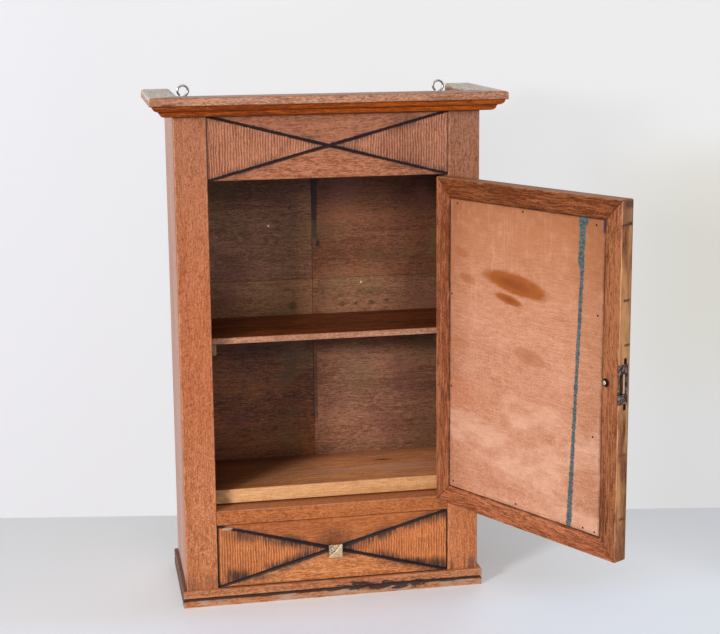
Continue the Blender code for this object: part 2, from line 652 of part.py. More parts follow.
def edge_plate(name, middle_x, window_rear, window_front, assembly):
    """A thin screwed plate with a window for the bolt, drawn from the door's inner face to its front."""
    matrix = axes_matrix((middle_x, DOOR_BACK, LATCH_Z), (0.0, -1.0, 0.0), (0.0, 0.0, 1.0))
    outlines = [rectangle((PLATE_INSET, -PLATE_HALF), (PLATE_FRONT, PLATE_HALF)),
                rectangle((window_rear, -PLATE_WINDOW_HALF), (window_front, PLATE_WINDOW_HALF))[::-1]]
    radius = SCREW_HEAD_RADIUS + JOINT_GAP
    for sign in (-1, 1):
        centre = ((PLATE_INSET + PLATE_FRONT) / 2, sign * PLATE_SCREW_Z)
        outlines.append(arc(centre, (radius, radius), 360, 0, ROUND_STEPS)[:-1])
    return prism(name, outlines, PLATE_THICKNESS, matrix, IRON, assembly)


def bolt_window_front():
    """How far ahead of the spindle the bolt's window must reach, so that the turning cam's nose clears it."""
    steps = 18
    shares = [i / steps for i in range(steps + 1)]
    reach = [CAM_REACH * math.sin(LATCH_TURN * share) for share in shares]
    corner = [CAM_NOSE_WIDTH / 2 * math.cos(LATCH_TURN * share) for share in shares]
    return JOINT_GAP + max(r + c - BOLT_THROW * share for r, c, share in zip(reach, corner, shares))


def latch(lock_stile, left_stile):
    """A turning knob whose cam throws a flat bolt out of the door's edge into the left stile."""
    outward = (0.0, -1.0, 0.0)
    clear = 2 * JOINT_GAP
    window_front = bolt_window_front()
    window_back = CAM_HUB_RADIUS + clear + BOLT_THROW
    bolt_tip = LATCH_BACKSET - PLATE_THICKNESS
    bolt_tail = window_back + BOLT_BAR
    # Drawn with X towards the door's free edge and Y up.
    flat = axes_matrix((LATCH_X, BOLT_Y, LATCH_Z), (-1.0, 0.0, 0.0), (0.0, 0.0, 1.0))
    body = rectangle((-bolt_tail, -BOLT_HALF), (bolt_tip, BOLT_HALF))
    window = rectangle((-window_back, BOLT_BAR - BOLT_HALF), (window_front, BOLT_HALF - BOLT_BAR))
    prism("latch_bolt", [body, window[::-1]], BOLT_THICKNESS, flat, BRASS, BOLT)
    half = CAM_NOSE_WIDTH / 2
    lean = math.degrees(math.asin(half / CAM_HUB_RADIUS))
    hub = arc((0.0, 0.0), (CAM_HUB_RADIUS, CAM_HUB_RADIUS), 90 + lean, 450 - lean, ROUND_STEPS)
    bore = arc((0.0, 0.0), (SPINDLE_RADIUS + JOINT_GAP, SPINDLE_RADIUS + JOINT_GAP), 360, 0, ROUND_STEPS)
    prism("latch_cam", [hub + [(half, CAM_REACH), (-half, CAM_REACH)], bore[:-1]], CAM_THICKNESS, flat,
          IRON, KNOB)
    square_knob("door_knob", (LATCH_X, FRONT - JOINT_GAP, LATCH_Z), outward, KNOB)
    headed_bar("latch_spindle", (LATCH_X, DOOR_BACK + JOINT_GAP, LATCH_Z), (0.0, 1.0, 0.0),
               FACE_THICKNESS + KNOB_BORE_DEPTH, IRON, KNOB)

    window_rear = PLATE_INSET + PLATE_REAR_RIM
    edge_plate("latch_plate", DOOR_LEFT + PLATE_THICKNESS / 2, window_rear,
               DOOR_BACK - BOLT_FRONT + PLATE_WINDOW_GAP, DOOR)
    before = DOOR_LEFT - OVERCUT
    half_plate = PLATE_HALF + JOINT_GAP
    half_pocket = PLATE_WINDOW_HALF - JOINT_GAP
    half_mortise = BOLT_HALF + JOINT_GAP
    half_overrun = PLATE_HALF + MORTISE_OVERRUN
    cut(lock_stile,
        slot("latch_plate_recess", (before, DOOR_BACK + OVERCUT, LATCH_Z - half_plate),
             (DOOR_LEFT + PLATE_THICKNESS + JOINT_GAP, DOOR_BACK - PLATE_FRONT - JOINT_GAP,
              LATCH_Z + half_plate), DOOR),
        slot("latch_mortise", (before, BOLT_BACK + JOINT_GAP, LATCH_Z - half_mortise),
             (LATCH_X + bolt_tail + JOINT_GAP, BOLT_FRONT - JOINT_GAP, LATCH_Z + half_mortise), DOOR),
        slot("latch_mortise_overrun", (before, BOLT_BACK + clear, LATCH_Z - half_overrun),
             (DOOR_LEFT + MORTISE_OVERRUN_DEPTH, BOLT_FRONT - clear, LATCH_Z + half_overrun), DOOR),
        slot("latch_pocket", (before, DOOR_BACK - window_rear - JOINT_GAP, LATCH_Z - half_pocket),
             (DOOR_LEFT + LATCH_POCKET_DEPTH, BOLT_Y, LATCH_Z + half_pocket), DOOR),
        rod("spindle_hole", (LATCH_X, FRONT - OVERCUT, LATCH_Z), (0.0, 1.0, 0.0), SPINDLE_RADIUS + JOINT_GAP,
            FACE_THICKNESS + 2 * OVERCUT, None, DOOR))

    strike_rear = BOLT_BACK + STRIKE_GAP
    strike_front = BOLT_FRONT - STRIKE_GAP
    edge_plate("strike_plate", -MOUTH - PLATE_THICKNESS / 2, DOOR_BACK - strike_rear,
               DOOR_BACK - strike_front, CASE)
    past = -MOUTH + OVERCUT
    cut(left_stile,
        slot("strike_recess", (past, DOOR_BACK - PLATE_INSET + JOINT_GAP, LATCH_Z - half_plate),
             (-MOUTH - PLATE_THICKNESS - JOINT_GAP, DOOR_BACK - PLATE_FRONT - JOINT_GAP,
              LATCH_Z + half_plate), CASE),
        slot("strike_mortise", (past, strike_rear, LATCH_Z - PLATE_WINDOW_HALF),
             (-MOUTH - STRIKE_DEPTH, strike_front, LATCH_Z + PLATE_WINDOW_HALF), CASE))
    plate_middle = DOOR_BACK - (PLATE_INSET + PLATE_FRONT) / 2
    for level, sign in (("lower", -1), ("upper", 1)):
        height = LATCH_Z + sign * PLATE_SCREW_Z
        for name, place, outward_x, wood, dome, assembly in (
                ("latch", DOOR_LEFT, -1.0, lock_stile, SCREW_DOME, DOOR),
                ("strike", -MOUTH, 1.0, left_stile, 0.0, CASE)):
            seat = (place, plate_middle, height)
            direction = (outward_x, 0.0, 0.0)
            slotted_screw(f"{name}_screw_{level}", seat, direction, PLATE_THICKNESS, dome, IRON, assembly)
            cut(wood, screw_hole(f"{name}_screw_{level}_hole", seat, direction, assembly))


DRAWER = Assembly("drawer_slide", (0.0, FRONT, BASE_HEIGHT))


def drawer():
    """A flush front, two sides, a back, and a bottom that runs in grooves and under the back."""
    half = MOUTH - DRAWER_SIDE_GAP
    low, high = BASE_HEIGHT + DRAWER_EDGE_GAP, RAIL_BOTTOM - DRAWER_EDGE_GAP
    middle = (low + high) / 2
    rear = INNER_BACK - DRAWER_BACK_GAP
    run = BASE_HEIGHT + JOINT_GAP
    side_top = RAIL_BOTTOM - DRAWER_SIDE_DROP
    groove_low = run + DRAWER_BOTTOM_LIFT
    groove_high = groove_low + DRAWER_BOTTOM_THICKNESS + 2 * JOINT_GAP
    inner = half - DRAWER_SIDE_THICKNESS
    sunk = inner + DRAWER_GROOVE_DEPTH
    front = box("drawer_front", (-half, FRONT, low), (half, FRAME_BACK, high), OAK, DRAWER)
    carve_cross(front, (-half, low), (half, high), DRAWER)
    cut(front,
        slot("front_groove", (-sunk, FRAME_BACK - DRAWER_GROOVE_DEPTH, groove_low),
             (sunk, FRAME_BACK + OVERCUT, groove_high), DRAWER),
        rod("knob_screw_hole", (0.0, FRONT - OVERCUT, middle), (0.0, 1.0, 0.0), SPINDLE_RADIUS + JOINT_GAP,
            FACE_THICKNESS + 2 * OVERCUT, None, DRAWER))
    for side, sign in SIDES:
        wall = box(f"drawer_side_{side}", (sign * inner, FRAME_BACK + JOINT_GAP, run),
                   (sign * half, rear, side_top), OAK_RAW, DRAWER)
        cut(wall, slot(f"side_groove_{side}", (sign * (inner - OVERCUT), FRAME_BACK - OVERCUT, groove_low),
                       (sign * sunk, rear + OVERCUT, groove_high), DRAWER))
    box("drawer_back", (JOINT_GAP - inner, rear - DRAWER_SIDE_THICKNESS, groove_high),
        (inner - JOINT_GAP, rear, side_top), OAK_RAW, DRAWER)
    in_front = FRAME_BACK - DRAWER_GROOVE_DEPTH + JOINT_GAP
    box("drawer_bottom", (JOINT_GAP - sunk, in_front, groove_low + JOINT_GAP),
        (sunk - JOINT_GAP, rear, groove_high - JOINT_GAP), PLYWOOD, DRAWER, ease=EDGE_EASE / 4)
    square_knob("drawer_knob", (0.0, FRONT - JOINT_GAP, middle), (0.0, -1.0, 0.0), DRAWER)
    headed_bar("drawer_knob_screw", (0.0, FRAME_BACK + JOINT_GAP, middle), (0.0, 1.0, 0.0),
               FACE_THICKNESS + KNOB_BORE_DEPTH, STEEL, DRAWER)


case_boards()
inner_boards()
mitred_surround("cornice", cornice_profile(), CORNICE_OVERHANG, CORNICE_BOTTOM, OAK_MOULDING)
mitred_surround("plinth", plinth_profile(), PLINTH_PROUD, 0.0, OAK)
screw_eyes()
STILES = {}
for stile_side, stile_sign in SIDES:
    STILES[stile_side] = box(f"{stile_side}_stile", (stile_sign * MOUTH, FRONT, 0.0),
                             (stile_sign * HALF, FRAME_BACK, CASE_TOP), OAK, CASE)
FRAME = door_frame()
butt_hinges(STILES["right"], FRAME["hinge"])
latch(FRAME["lock"], STILES["left"])
drawer()
DOOR.empty.rotation_euler.z = DOOR_OPEN_ANGLE
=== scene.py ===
"""Looks of a hanging oak medicine cabinet: finishes, small fittings, light and camera."""

import json
import math
from functools import reduce

import bpy
import numpy as np
from mathutils import Euler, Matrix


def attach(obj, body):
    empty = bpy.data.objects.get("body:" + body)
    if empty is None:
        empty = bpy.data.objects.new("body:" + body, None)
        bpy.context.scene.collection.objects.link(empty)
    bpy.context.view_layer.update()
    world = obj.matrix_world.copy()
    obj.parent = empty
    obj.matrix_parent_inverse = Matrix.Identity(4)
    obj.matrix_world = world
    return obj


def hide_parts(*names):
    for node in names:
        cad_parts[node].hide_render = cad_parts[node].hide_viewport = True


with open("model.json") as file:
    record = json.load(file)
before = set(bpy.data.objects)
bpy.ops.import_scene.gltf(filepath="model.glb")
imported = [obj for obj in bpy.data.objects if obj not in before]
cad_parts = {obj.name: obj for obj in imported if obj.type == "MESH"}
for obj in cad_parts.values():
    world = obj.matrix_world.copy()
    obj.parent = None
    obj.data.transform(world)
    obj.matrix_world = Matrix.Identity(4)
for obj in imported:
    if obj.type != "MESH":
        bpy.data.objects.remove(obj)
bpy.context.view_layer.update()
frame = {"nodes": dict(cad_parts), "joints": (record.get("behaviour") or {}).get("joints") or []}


# Face stiles: two upright boards of quartered oak, glued to the front edges of the sides.
# Thin old varnish, faded and pinkish near the top, warmer below, rubbed pale along the corners. The top is
# painted darker still as shade under the cornice, and the foot is painted lighter.

def join(node, feeds):
    """Links or sets a node's inputs, by name or number."""
    for key, value in dict(feeds).items():
        if isinstance(value, bpy.types.NodeSocket):
            node.id_data.links.new(value, node.inputs[key])
        else:
            node.inputs[key].default_value = value


def put(kind, feeds, out=0, tree=None, **settings):
    """Adds a node to the tree that its feeds come from, or to the one given; the answer is one output."""
    feeds = dict(feeds)
    tree = tree or next(v.id_data for v in feeds.values() if isinstance(v, bpy.types.NodeSocket))
    made = tree.nodes.new("ShaderNode" + kind)
    for key, value in settings.items():
        setattr(made, key, value)
    join(made, feeds)
    return made.outputs[out]


def calc(operation, *values):
    return put("Math", enumerate(values), operation=operation)


def vector(operation, *values):
    return put("VectorMath", enumerate(values), operation=operation)


def times(*values):
    return reduce(lambda first, second: calc("MULTIPLY", first, second), values)


def scaled(value, factor, rest):
    """The rest, and a value times a factor added to it."""
    return calc("MULTIPLY_ADD", value, factor, rest)


def swayed(rest, noise, factor):
    """The rest, moved both ways by a noise about its mean of one half."""
    return scaled(calc("SUBTRACT", noise, 0.5), factor, rest)


def axes(value):
    """The X, Y and Z of a vector, as three values."""
    return tuple(put("SeparateXYZ", {0: value}).node.outputs)


def ease(value, start, end):
    """0 up to start, 1 beyond end, and a smooth rise between; start above end turns it round."""
    feeds = {"Value": value, "From Min": start, "From Max": end}
    return put("MapRange", feeds, interpolation_type="SMOOTHSTEP")


def tint(share, first, second):
    """A share of the second colour over the first."""
    first, second = (c if isinstance(c, bpy.types.NodeSocket) else (*c, 1.0) for c in (first, second))
    return put("Mix", {0: share, 6: first, 7: second}, 2, data_type="RGBA")


def stain(colour, other, mask, share):
    """Another colour over the first, where a mask shows it and by a share."""
    return tint(times(mask, share), colour, other)


def toned(colour, share, tone):
    """A colour times a tone, by a share."""
    return vector("MULTIPLY", colour, tint(share, (1.0, 1.0, 1.0), tone))


def cloud(at, stretch, detail=3.0, rough=0.5, out=0):
    """Noise with so many lumps to the metre: one number, or three along X, Y and Z."""
    spread = vector("MULTIPLY", at, (stretch,) * 3 if np.isscalar(stretch) else stretch)
    return put("TexNoise", {"Vector": spread, "Scale": 1.0, "Detail": detail, "Roughness": rough}, out)


def patches(at, stretch, low, high, detail=3.0, rough=0.5):
    """Noise cut to patches between two of its levels."""
    return ease(cloud(at, stretch, detail, rough), low, high)


def group(name, inputs, outputs):
    """A shader group with named sockets: its tree, what comes in, and the node that sends out."""
    tree = bpy.data.node_groups.new(name, "ShaderNodeTree")
    for way, sockets in (("INPUT", inputs), ("OUTPUT", outputs)):
        for label, kind in sockets.items():
            tree.interface.new_socket(label, in_out=way, socket_type="NodeSocket" + kind)
    return tree, tree.nodes.new("NodeGroupInput").outputs, tree.nodes.new("NodeGroupOutput")


def filled(made, feeds):
    """Puts a group into the tree its feeds come from, and gives its outputs."""
    return put("Group", feeds, node_tree=made).node.outputs


def oak_grain():
    """Growth lines, fibres and short pores along X, with wavy pale ray flecks across them."""
    tree, come, go = group(
        "oak_grain",
        {"Vector": "Vector", **dict.fromkeys(("Pale", "Dark", "Deep"), "Color"),
         **dict.fromkeys(("Lines", "Figure", "Flecks", "Pores", "Run", "Mottle"), "Float")},
        {"Color": "Color", "Matt": "Float", "Height": "Float"})
    wander = cloud(come["Vector"], 8.0, 2.0, out=1)
    at = vector("MULTIPLY_ADD", wander, (0.0, 0.014, 0.014), come["Vector"])
    broad = cloud(at, (5.0, 17.0, 17.0))
    lines = cloud(at, (7.0, 190.0, 190.0), 4.0, 0.62)
    dashes = cloud(at, put("CombineXYZ", {0: come["Run"], 1: 680.0, 2: 680.0}), 3.0, 0.6)
    mottle = cloud(at, (560.0, 800.0, 800.0), 2.0)
    fibre = cloud(at, (60.0, 900.0, 900.0), 2.0)
    pores = patches(at, (110.0, 1250.0, 1250.0), 0.57, 0.70, 1.0)
    slant = put("Mapping", {"Vector": at, "Rotation": (0.3, 0.35, 0.5)})
    rays = patches(slant, (340.0, 75.0, 75.0), 0.55, 0.68, 2.0)
    where = patches(at, (14.0, 40.0, 40.0), 0.42, 0.62, 2.0)
    tone = swayed(0.5, lines, times(come["Lines"], 2.6))
    tone = swayed(tone, dashes, times(come["Lines"], 5.6))
    tone = swayed(tone, mottle, come["Mottle"])
    tone = swayed(tone, broad, times(come["Figure"], 2.0))
    tone = put("Clamp", {0: swayed(tone, fibre, 1.4)})
    sunk = times(pores, come["Pores"])
    colour = tint(tone, come["Pale"], come["Dark"])
    colour = stain(colour, come["Pale"], times(rays, where), come["Flecks"])
    colour = tint(sunk, colour, come["Deep"])
    height = scaled(sunk, -0.7, scaled(fibre, 0.35, times(dashes, 0.6)))
    join(go, {"Color": colour, "Matt": scaled(tone, 0.5, times(broad, 0.5)), "Height": height})
    return tree


def rubbed_edges():
    """How near a point is to the edges of its board: the middle one of its three distances to the faces."""
    tree, come, go = group(
        "rubbed_edges", {**dict.fromkeys(("Vector", "Low", "High"), "Vector"), "Width": "Float"},
        {"Mask": "Float"})
    at = come["Vector"]
    near = vector("MINIMUM", vector("SUBTRACT", at, come["Low"]), vector("SUBTRACT", come["High"], at))
    x, y, z = axes(near)
    middle = calc("MAXIMUM", calc("MINIMUM", x, y), calc("MINIMUM", calc("MAXIMUM", x, y), z))
    width = times(come["Width"], patches(at, 55.0, 0.34, 0.72, 4.0, 0.65))
    mask = calc("SUBTRACT", 1.0, calc("DIVIDE", middle, calc("ADD", width, 1e-5)))
    join(go, {"Mask": put("Clamp", {0: mask})})
    return tree


OAK_GRAIN = oak_grain()
RUBBED_EDGES = rubbed_edges()
GRAIN_TURN = {"x": (0.0, 0.0, 0.0), "y": (0.0, 0.0, -math.pi / 2), "z": (0.0, math.pi / 2, 0.0)}
SWING = next(joint for joint in frame["joints"] if joint["name"] == "door_swing")
SHUT_TURN = math.radians(SWING["range_deg"][0])
HINGE_LINE = np.array(SWING["pos_m"]) * (1.0, 1.0, 0.0)
SHUT_ROWS = np.array([[math.cos(SHUT_TURN), -math.sin(SHUT_TURN), 0.0],
                      [math.sin(SHUT_TURN), math.cos(SHUT_TURN), 0.0], [0.0, 0.0, 1.0]])


def start(name, shut=False):
    """A new material and the place of each point; shut gives it as if the door hung shut."""
    made = bpy.data.materials.new(name)
    made.use_nodes = True
    at = put("TexCoord", {}, "Object", made.node_tree)
    if shut:
        at = put("Mapping", {"Vector": at, "Rotation": (0.0, 0.0, SHUT_TURN),
                             "Location": tuple(HINGE_LINE - SHUT_ROWS @ HINGE_LINE)})
    return made, at


def grained(at, colours, grain="x", seed=0.0, lines=0.5, figure=0.5, flecks=0.4, pores=0.5, run=240.0,
            mottle=1.7):
    """The wood's colour, mattness and height: grain along one axis, from its own stretch of timber."""
    along = put("Mapping", {"Vector": at, "Rotation": GRAIN_TURN[grain],
                            "Location": (seed * 1.37, seed * 2.11, seed * 0.73)})
    pale, dark, deep = ((*c, 1.0) for c in colours)
    outs = filled(OAK_GRAIN, {
        "Vector": along, "Pale": pale, "Dark": dark, "Deep": deep, "Lines": lines, "Figure": figure,
        "Flecks": flecks, "Pores": pores, "Run": run, "Mottle": mottle})
    return outs["Color"], outs["Matt"], outs["Height"]


def reach(node, shut=False):
    """Lowest and highest corner of a node, with the door shut if asked."""
    mesh = frame["nodes"][node].data
    points = np.empty(len(mesh.vertices) * 3)
    mesh.vertices.foreach_get("co", points)
    points = points.reshape(-1, 3)
    if shut:
        points = (points - HINGE_LINE) @ SHUT_ROWS.T + HINGE_LINE
    return tuple(points.min(0)), tuple(points.max(0))


def rubbed(at, colour, bare, node, width=0.003, share=0.6, shut=False):
    """Bare wood showing along the edges of a node."""
    low, high = reach(node, shut)
    mask = filled(RUBBED_EDGES, {"Vector": at, "Low": low, "High": high, "Width": width})["Mask"]
    return stain(colour, bare, mask, share)


def end(made, colour, matt, height, rough=0.5, bump=0.0003, shine=0.25):
    """Joins colour, roughness and bump to the material's shader."""
    join(made.node_tree.nodes["Principled BSDF"], {
        "Base Color": colour, "Roughness": scaled(matt, 0.3, rough - 0.15), "Specular IOR Level": shine,
        "Normal": put("Bump", {"Strength": 0.6, "Distance": bump, "Height": height})})
    return made


def dress(node, made):
    frame["nodes"][node].material_slots[0].material = made


STILE_OAK = ((0.575, 0.186, 0.074), (0.28, 0.064, 0.013), (0.095, 0.024, 0.007))
BARE_EDGE = (0.66, 0.34, 0.19)
FOOT_TONE = {"left": (1.18, 1.40, 1.56), "right": (1.26, 1.37, 1.30)}
UPPER_FADE_AND_SHADE_TONE = {"left": (0.84, 1.01, 1.32), "right": (0.79, 1.11, 1.76)}
FOOT_FADE, UPPER_FADE_AND_SHADE_RISE, STAIN_FADE = (0.28, 0.10), (0.33, 0.60), (0.046, 0.028)
FOOT_STAIN, FOOT_SHARE = (0.10, 0.050, 0.040), {"left": 0.45, "right": 0.75}
# Black for dirt in joints, and for painted shade in gaps, holes and under the cornice.
DIRT_AND_SHADE_BLACK = (0.028, 0.010, 0.005)
CORNICE_FOOT = reach("cornice_front")[0][2]


def cornice_foot_shade(z, colour):
    """A painted black line of shade where a face meets the cornice's foot."""
    return stain(colour, DIRT_AND_SHADE_BLACK, ease(z, CORNICE_FOOT - 0.0024, CORNICE_FOOT - 0.0008), 0.85)


for count, side in enumerate(("left", "right")):
    name = f"{side}_stile"
    made, at = start(f"{side}_stile_oak")
    colour, matt, height = grained(at, STILE_OAK, "z", 1.0 + count, lines=0.30, flecks=0.6, run=320.0,
                                   mottle=2.3)
    z = axes(at)[2]
    # Lighter towards the foot; darker towards the top, partly faded varnish and partly painted shade under
    # the cornice.
    colour = toned(colour, ease(z, *FOOT_FADE), FOOT_TONE[side])
    colour = toned(colour, ease(z, *UPPER_FADE_AND_SHADE_RISE), UPPER_FADE_AND_SHADE_TONE[side])
    foot = times(ease(z, *STAIN_FADE), patches(at, (260.0, 60.0, 22.0), 0.42, 0.62))
    colour = stain(colour, FOOT_STAIN, foot, FOOT_SHARE[side])
    colour = rubbed(at, colour, BARE_EDGE, name, 0.0035)
    dress(name, end(made, cornice_foot_shade(z, colour), matt, height, 0.46))


# Frieze rail: a wide oak board under the cornice, with a V-cut from corner to corner both ways.
# The cuts are stained black; the end triangles have upright grain, the others lie along the board.

def inked_cross():
    """Ink on the lines |z| / half height = |x| / half width, hairs of it on the ends, and smoke."""
    tree, come, go = group(
        "inked_cross",
        {"Vector": "Vector", "Centre": "Vector",
         **dict.fromkeys(("Half X", "Half Z", "Width", "Hair"), "Float")},
        dict.fromkeys(("Ink", "Hairs", "Smoke", "Ends"), "Float"))
    at = come["Vector"]
    x, y, z = axes(vector("SUBTRACT", at, come["Centre"]))
    across = calc("DIVIDE", calc("ABSOLUTE", x), come["Half X"])
    up = calc("DIVIDE", calc("ABSOLUTE", z), come["Half Z"])
    past = calc("SUBTRACT", across, up)
    away = times(calc("ABSOLUTE", past), come["Half Z"])
    front = ease(y, 0.004, 0.003)
    ends = times(ease(past, -0.01, 0.01), front)
    edge = swayed(away, cloud(at, 60.0, 3.0, 0.6), -0.0016)
    edge = swayed(edge, cloud(at, (420.0, 90.0, 300.0), 3.0, 0.65), -0.0028)
    width = times(come["Width"], scaled(across, -0.28, 1.10))
    ink = ease(calc("DIVIDE", edge, width), 0.60, 0.40)
    streaks = patches(at, (430.0, 60.0, 25.0), 0.36, 0.64, 3.0, 0.6)
    spread = patches(at, 26.0, 0.36, 0.64, 2.0)
    corner = times(ease(across, 0.78, 1.0), ease(z, 0.0, -0.012))
    length = times(scaled(corner, 0.9, spread), streaks, come["Hair"])
    hairs = ease(calc("DIVIDE", away, calc("ADD", length, 0.0002)), 1.0, 0.1)
    smoke = times(ease(away, 0.013, 0.001), spread)
    join(go, {"Ink": times(ink, front), "Hairs": times(hairs, ends), "Smoke": times(smoke, front),
              "Ends": ends})
    return tree


INKED_CROSS = inked_cross()
# Black for the ink, and for painted shade in the latch's slot and the drawer's gaps.
INK_AND_SHADE_BLACK = (0.012, 0.010, 0.014)
RIB_PITCH, RIB_WAVER = 0.0032, 9.0


def crossed(name, node, colours, half, seed, line, hair, shares, tones):
    """The finish of a board with the inked cross: two ways of grain, end ribs with painted highlights on
    their crests, ink, hairs, smoke and a black line at both ends. Shares: smoke, hairs and the painted
    shade that
    dulls the upper triangle. Tones: the left and the right end, blended across as painted light, and the
    lower triangle."""
    made, at = start(name)
    low = reach(node)[0]
    middle = low[2] + half[1]
    mask = filled(INKED_CROSS, {"Vector": at, "Centre": (0.0, low[1], middle), "Half X": half[0],
                                "Half Z": half[1], "Width": line, "Hair": hair})
    lying = grained(at, colours, "x", seed, lines=0.70, figure=0.6, flecks=0.45, run=130.0)
    upright = grained(at, colours, "z", seed + 0.5, lines=0.30, figure=0.6, flecks=0.2, run=160.0)
    x, y, z = axes(at)
    waver = times(cloud(at, (95.0, 20.0, 42.0)), RIB_WAVER)
    wave = calc("SINE", scaled(x, math.tau / RIB_PITCH, waver))
    ribs = times(ease(wave, -0.2, 0.8), patches(at, (26.0, 10.0, 34.0), 0.28, 0.56), mask["Ends"])
    crest_highlights = times(ease(wave, -0.5, -1.0), mask["Ends"])
    upper_shade = tuple(0.5 * a + 0.5 * b for a, b in zip(colours[1], colours[2]))
    # Painted shade dulls the upper triangle: under the cornice on the frieze, under the rail on the drawer.
    colour = stain(lying[0], upper_shade, ease(z, middle - 0.002, middle + 0.012), shares[2])
    colour = toned(colour, ease(z, middle + 0.004, middle - 0.004), tones[2])
    colour = tint(mask["Ends"], colour, upright[0])
    colour = stain(colour, colours[2], ribs, 0.48)
    # Painted highlights on the ribs' crests.
    colour = stain(colour, tuple(1.2 * c + 0.04 for c in colours[0]), crest_highlights, 0.42)
    # Painted light: the colour runs from the left end's tone to the right end's.
    colour = vector("MULTIPLY", colour, tint(ease(x, -half[0], half[0]), tones[0], tones[1]))
    colour = rubbed(at, colour, BARE_EDGE, node, 0.0020, 0.25)
    # A black line along both ends: a dark joint on the frieze, painted shade in the side gaps on the
    # drawer.
    end_line_and_shade = ease(calc("ABSOLUTE", x), half[0] - 0.0018, half[0] - 0.0006)
    blacks = ((mask["Smoke"], shares[0]), (mask["Hairs"], shares[1]), (mask["Ink"], 0.95), (end_line_and_shade, 0.85))
    for black, share in blacks:
        colour = stain(colour, INK_AND_SHADE_BLACK, black, share)
    both = put("Mix", {0: mask["Ends"], 2: lying[2], 3: upright[2]})
    return made, at, colour, lying[1], scaled(ribs, -0.8, both)


FRIEZE_OAK = ((0.58, 0.230, 0.122), (0.26, 0.078, 0.033), (0.075, 0.025, 0.012))
FRIEZE_TONES = ((0.92, 0.90, 0.87), (1.03, 1.10, 1.16), (0.91, 0.86, 0.80))
FRIEZE_HALF, FRIEZE_LINE, FRIEZE_HAIR, FRIEZE_SHARES = (0.1442, 0.038), 0.0040, 0.010, (0.34, 0.45, 0.38)
made, at, colour, matt, height = crossed("frieze_oak", "frieze_rail", FRIEZE_OAK, FRIEZE_HALF, 3.0,
                                         FRIEZE_LINE, FRIEZE_HAIR, FRIEZE_SHARES, FRIEZE_TONES)
dress("frieze_rail", end(made, cornice_foot_shade(axes(at)[2], colour), matt, height, 0.48))


# Drawer rail: the oak cross-piece between the door and the drawer, tenoned behind the stiles.
# Same varnish as the stiles, with its grain along it and its edges rubbed by hands; a paler band
# along its top is painted light on the top face.

RAIL_OAK = ((0.58, 0.188, 0.050), (0.28, 0.072, 0.016), (0.095, 0.026, 0.009))
RAIL_TOP = reach("drawer_rail")[1][2]
made, at = start("drawer_rail_oak")
colour, matt, height = grained(at, RAIL_OAK, "x", 4.0, lines=0.6, flecks=0.5)
colour = rubbed(at, colour, BARE_EDGE, "drawer_rail", 0.0025, 0.5)
# Painted light: a paler band along the top, standing for light on the top face.
colour = stain(colour, BARE_EDGE, ease(axes(at)[2], RAIL_TOP - 0.0012, RAIL_TOP - 0.0004), 0.3)
dress("drawer_rail", end(made, colour, matt, height, 0.46))


# Sides: two oak boards, rebated behind for the back. Outside they are a pale dusty pink, partly bleached
# by the light and partly a painted sheen, as their faces show at a grazing view; inside they carry the dark
# brown stain of the compartment.

SIDE_OAK = ((0.62, 0.36, 0.285), (0.46, 0.23, 0.165), (0.22, 0.10, 0.066))
SIDE_EDGE, SIDE_FACE = (0.70, 0.46, 0.34), (0.1805, 0.1815)
STAINED_OAK = ((0.21, 0.098, 0.058), (0.105, 0.045, 0.026), (0.022, 0.010, 0.008))

for count, (side, sign) in enumerate((("left", -1.0), ("right", 1.0))):
    name = f"{side}_side_panel"
    made, at = start(f"{side}_side_oak")
    outer = grained(at, SIDE_OAK, "z", 5.0 + count, lines=0.55, flecks=0.3)
    inner = grained(at, STAINED_OAK, "z", 6.5 + count, lines=0.6, flecks=0.2)
    colour = tint(ease(times(axes(at)[0], sign), *SIDE_FACE), inner[0], outer[0])
    colour = rubbed(at, colour, SIDE_EDGE, name, 0.003, 0.5)
    dress(name, end(made, colour, outer[1], outer[2], 0.5))


# Back: four oak boards in two rows, nailed into the rebates, with their grain lying across.
# Stained dark inside, and greyed bare wood behind; ink has run down the middle joint from the top.
# Inside, painted shade darkens them under the frieze and the shelf, by the floor, beside the middle joint
# and at the right end, and painted light brightens each side's boards and the left end.

BACK_OAK = {
    "upper_left": ((0.37, 0.185, 0.105), (0.140, 0.060, 0.032), (0.024, 0.010, 0.006)),
    "upper_right": ((0.28, 0.108, 0.052), (0.105, 0.036, 0.016), (0.020, 0.007, 0.004)),
    "lower_left": ((0.40, 0.205, 0.110), (0.16, 0.071, 0.033), (0.030, 0.012, 0.007)),
    "lower_right": ((0.37, 0.176, 0.095), (0.149, 0.061, 0.029), (0.030, 0.012, 0.007))}
BELOW_SHELF = {"left": ((0.27, 0.096, 0.037), (0.052, 0.017, 0.007), (0.018, 0.006, 0.003)),
               "right": ((0.38, 0.177, 0.102), (0.141, 0.056, 0.030), (0.024, 0.009, 0.005))}
BACK_SHADE = {"left": (0.45, 0.38, 0.33), "right": (0.37, 0.30, 0.26)}
SHADE_RISE = {"left": (0.458, 0.503), "right": (0.423, 0.497)}
BACK_LIGHT_TONE = {"left": (1.14, 1.12, 1.12), "right": (1.27, 1.26, 1.25)}
SIDEWAYS_LIGHT_AND_SHADE = {"left": (1.42, 1.44, 1.46), "right": (0.52, 0.50, 0.49)}
SIDEWAYS_LIGHT_AND_SHADE_RANGE = {"left": (-0.09, -0.165), "right": (0.07, 0.155)}
SEAM_SHADE_RANGE, SEAM_SHADE_TONE = {"left": (-0.08, -0.02), "right": (0.052, 0.0)}, (0.80, 0.76, 0.68)
BARE_BACK = ((0.44, 0.27, 0.15), (0.26, 0.145, 0.078), (0.07, 0.035, 0.020))
INNER_BACK, GREYED = 0.0665, (0.0715, 0.0725)
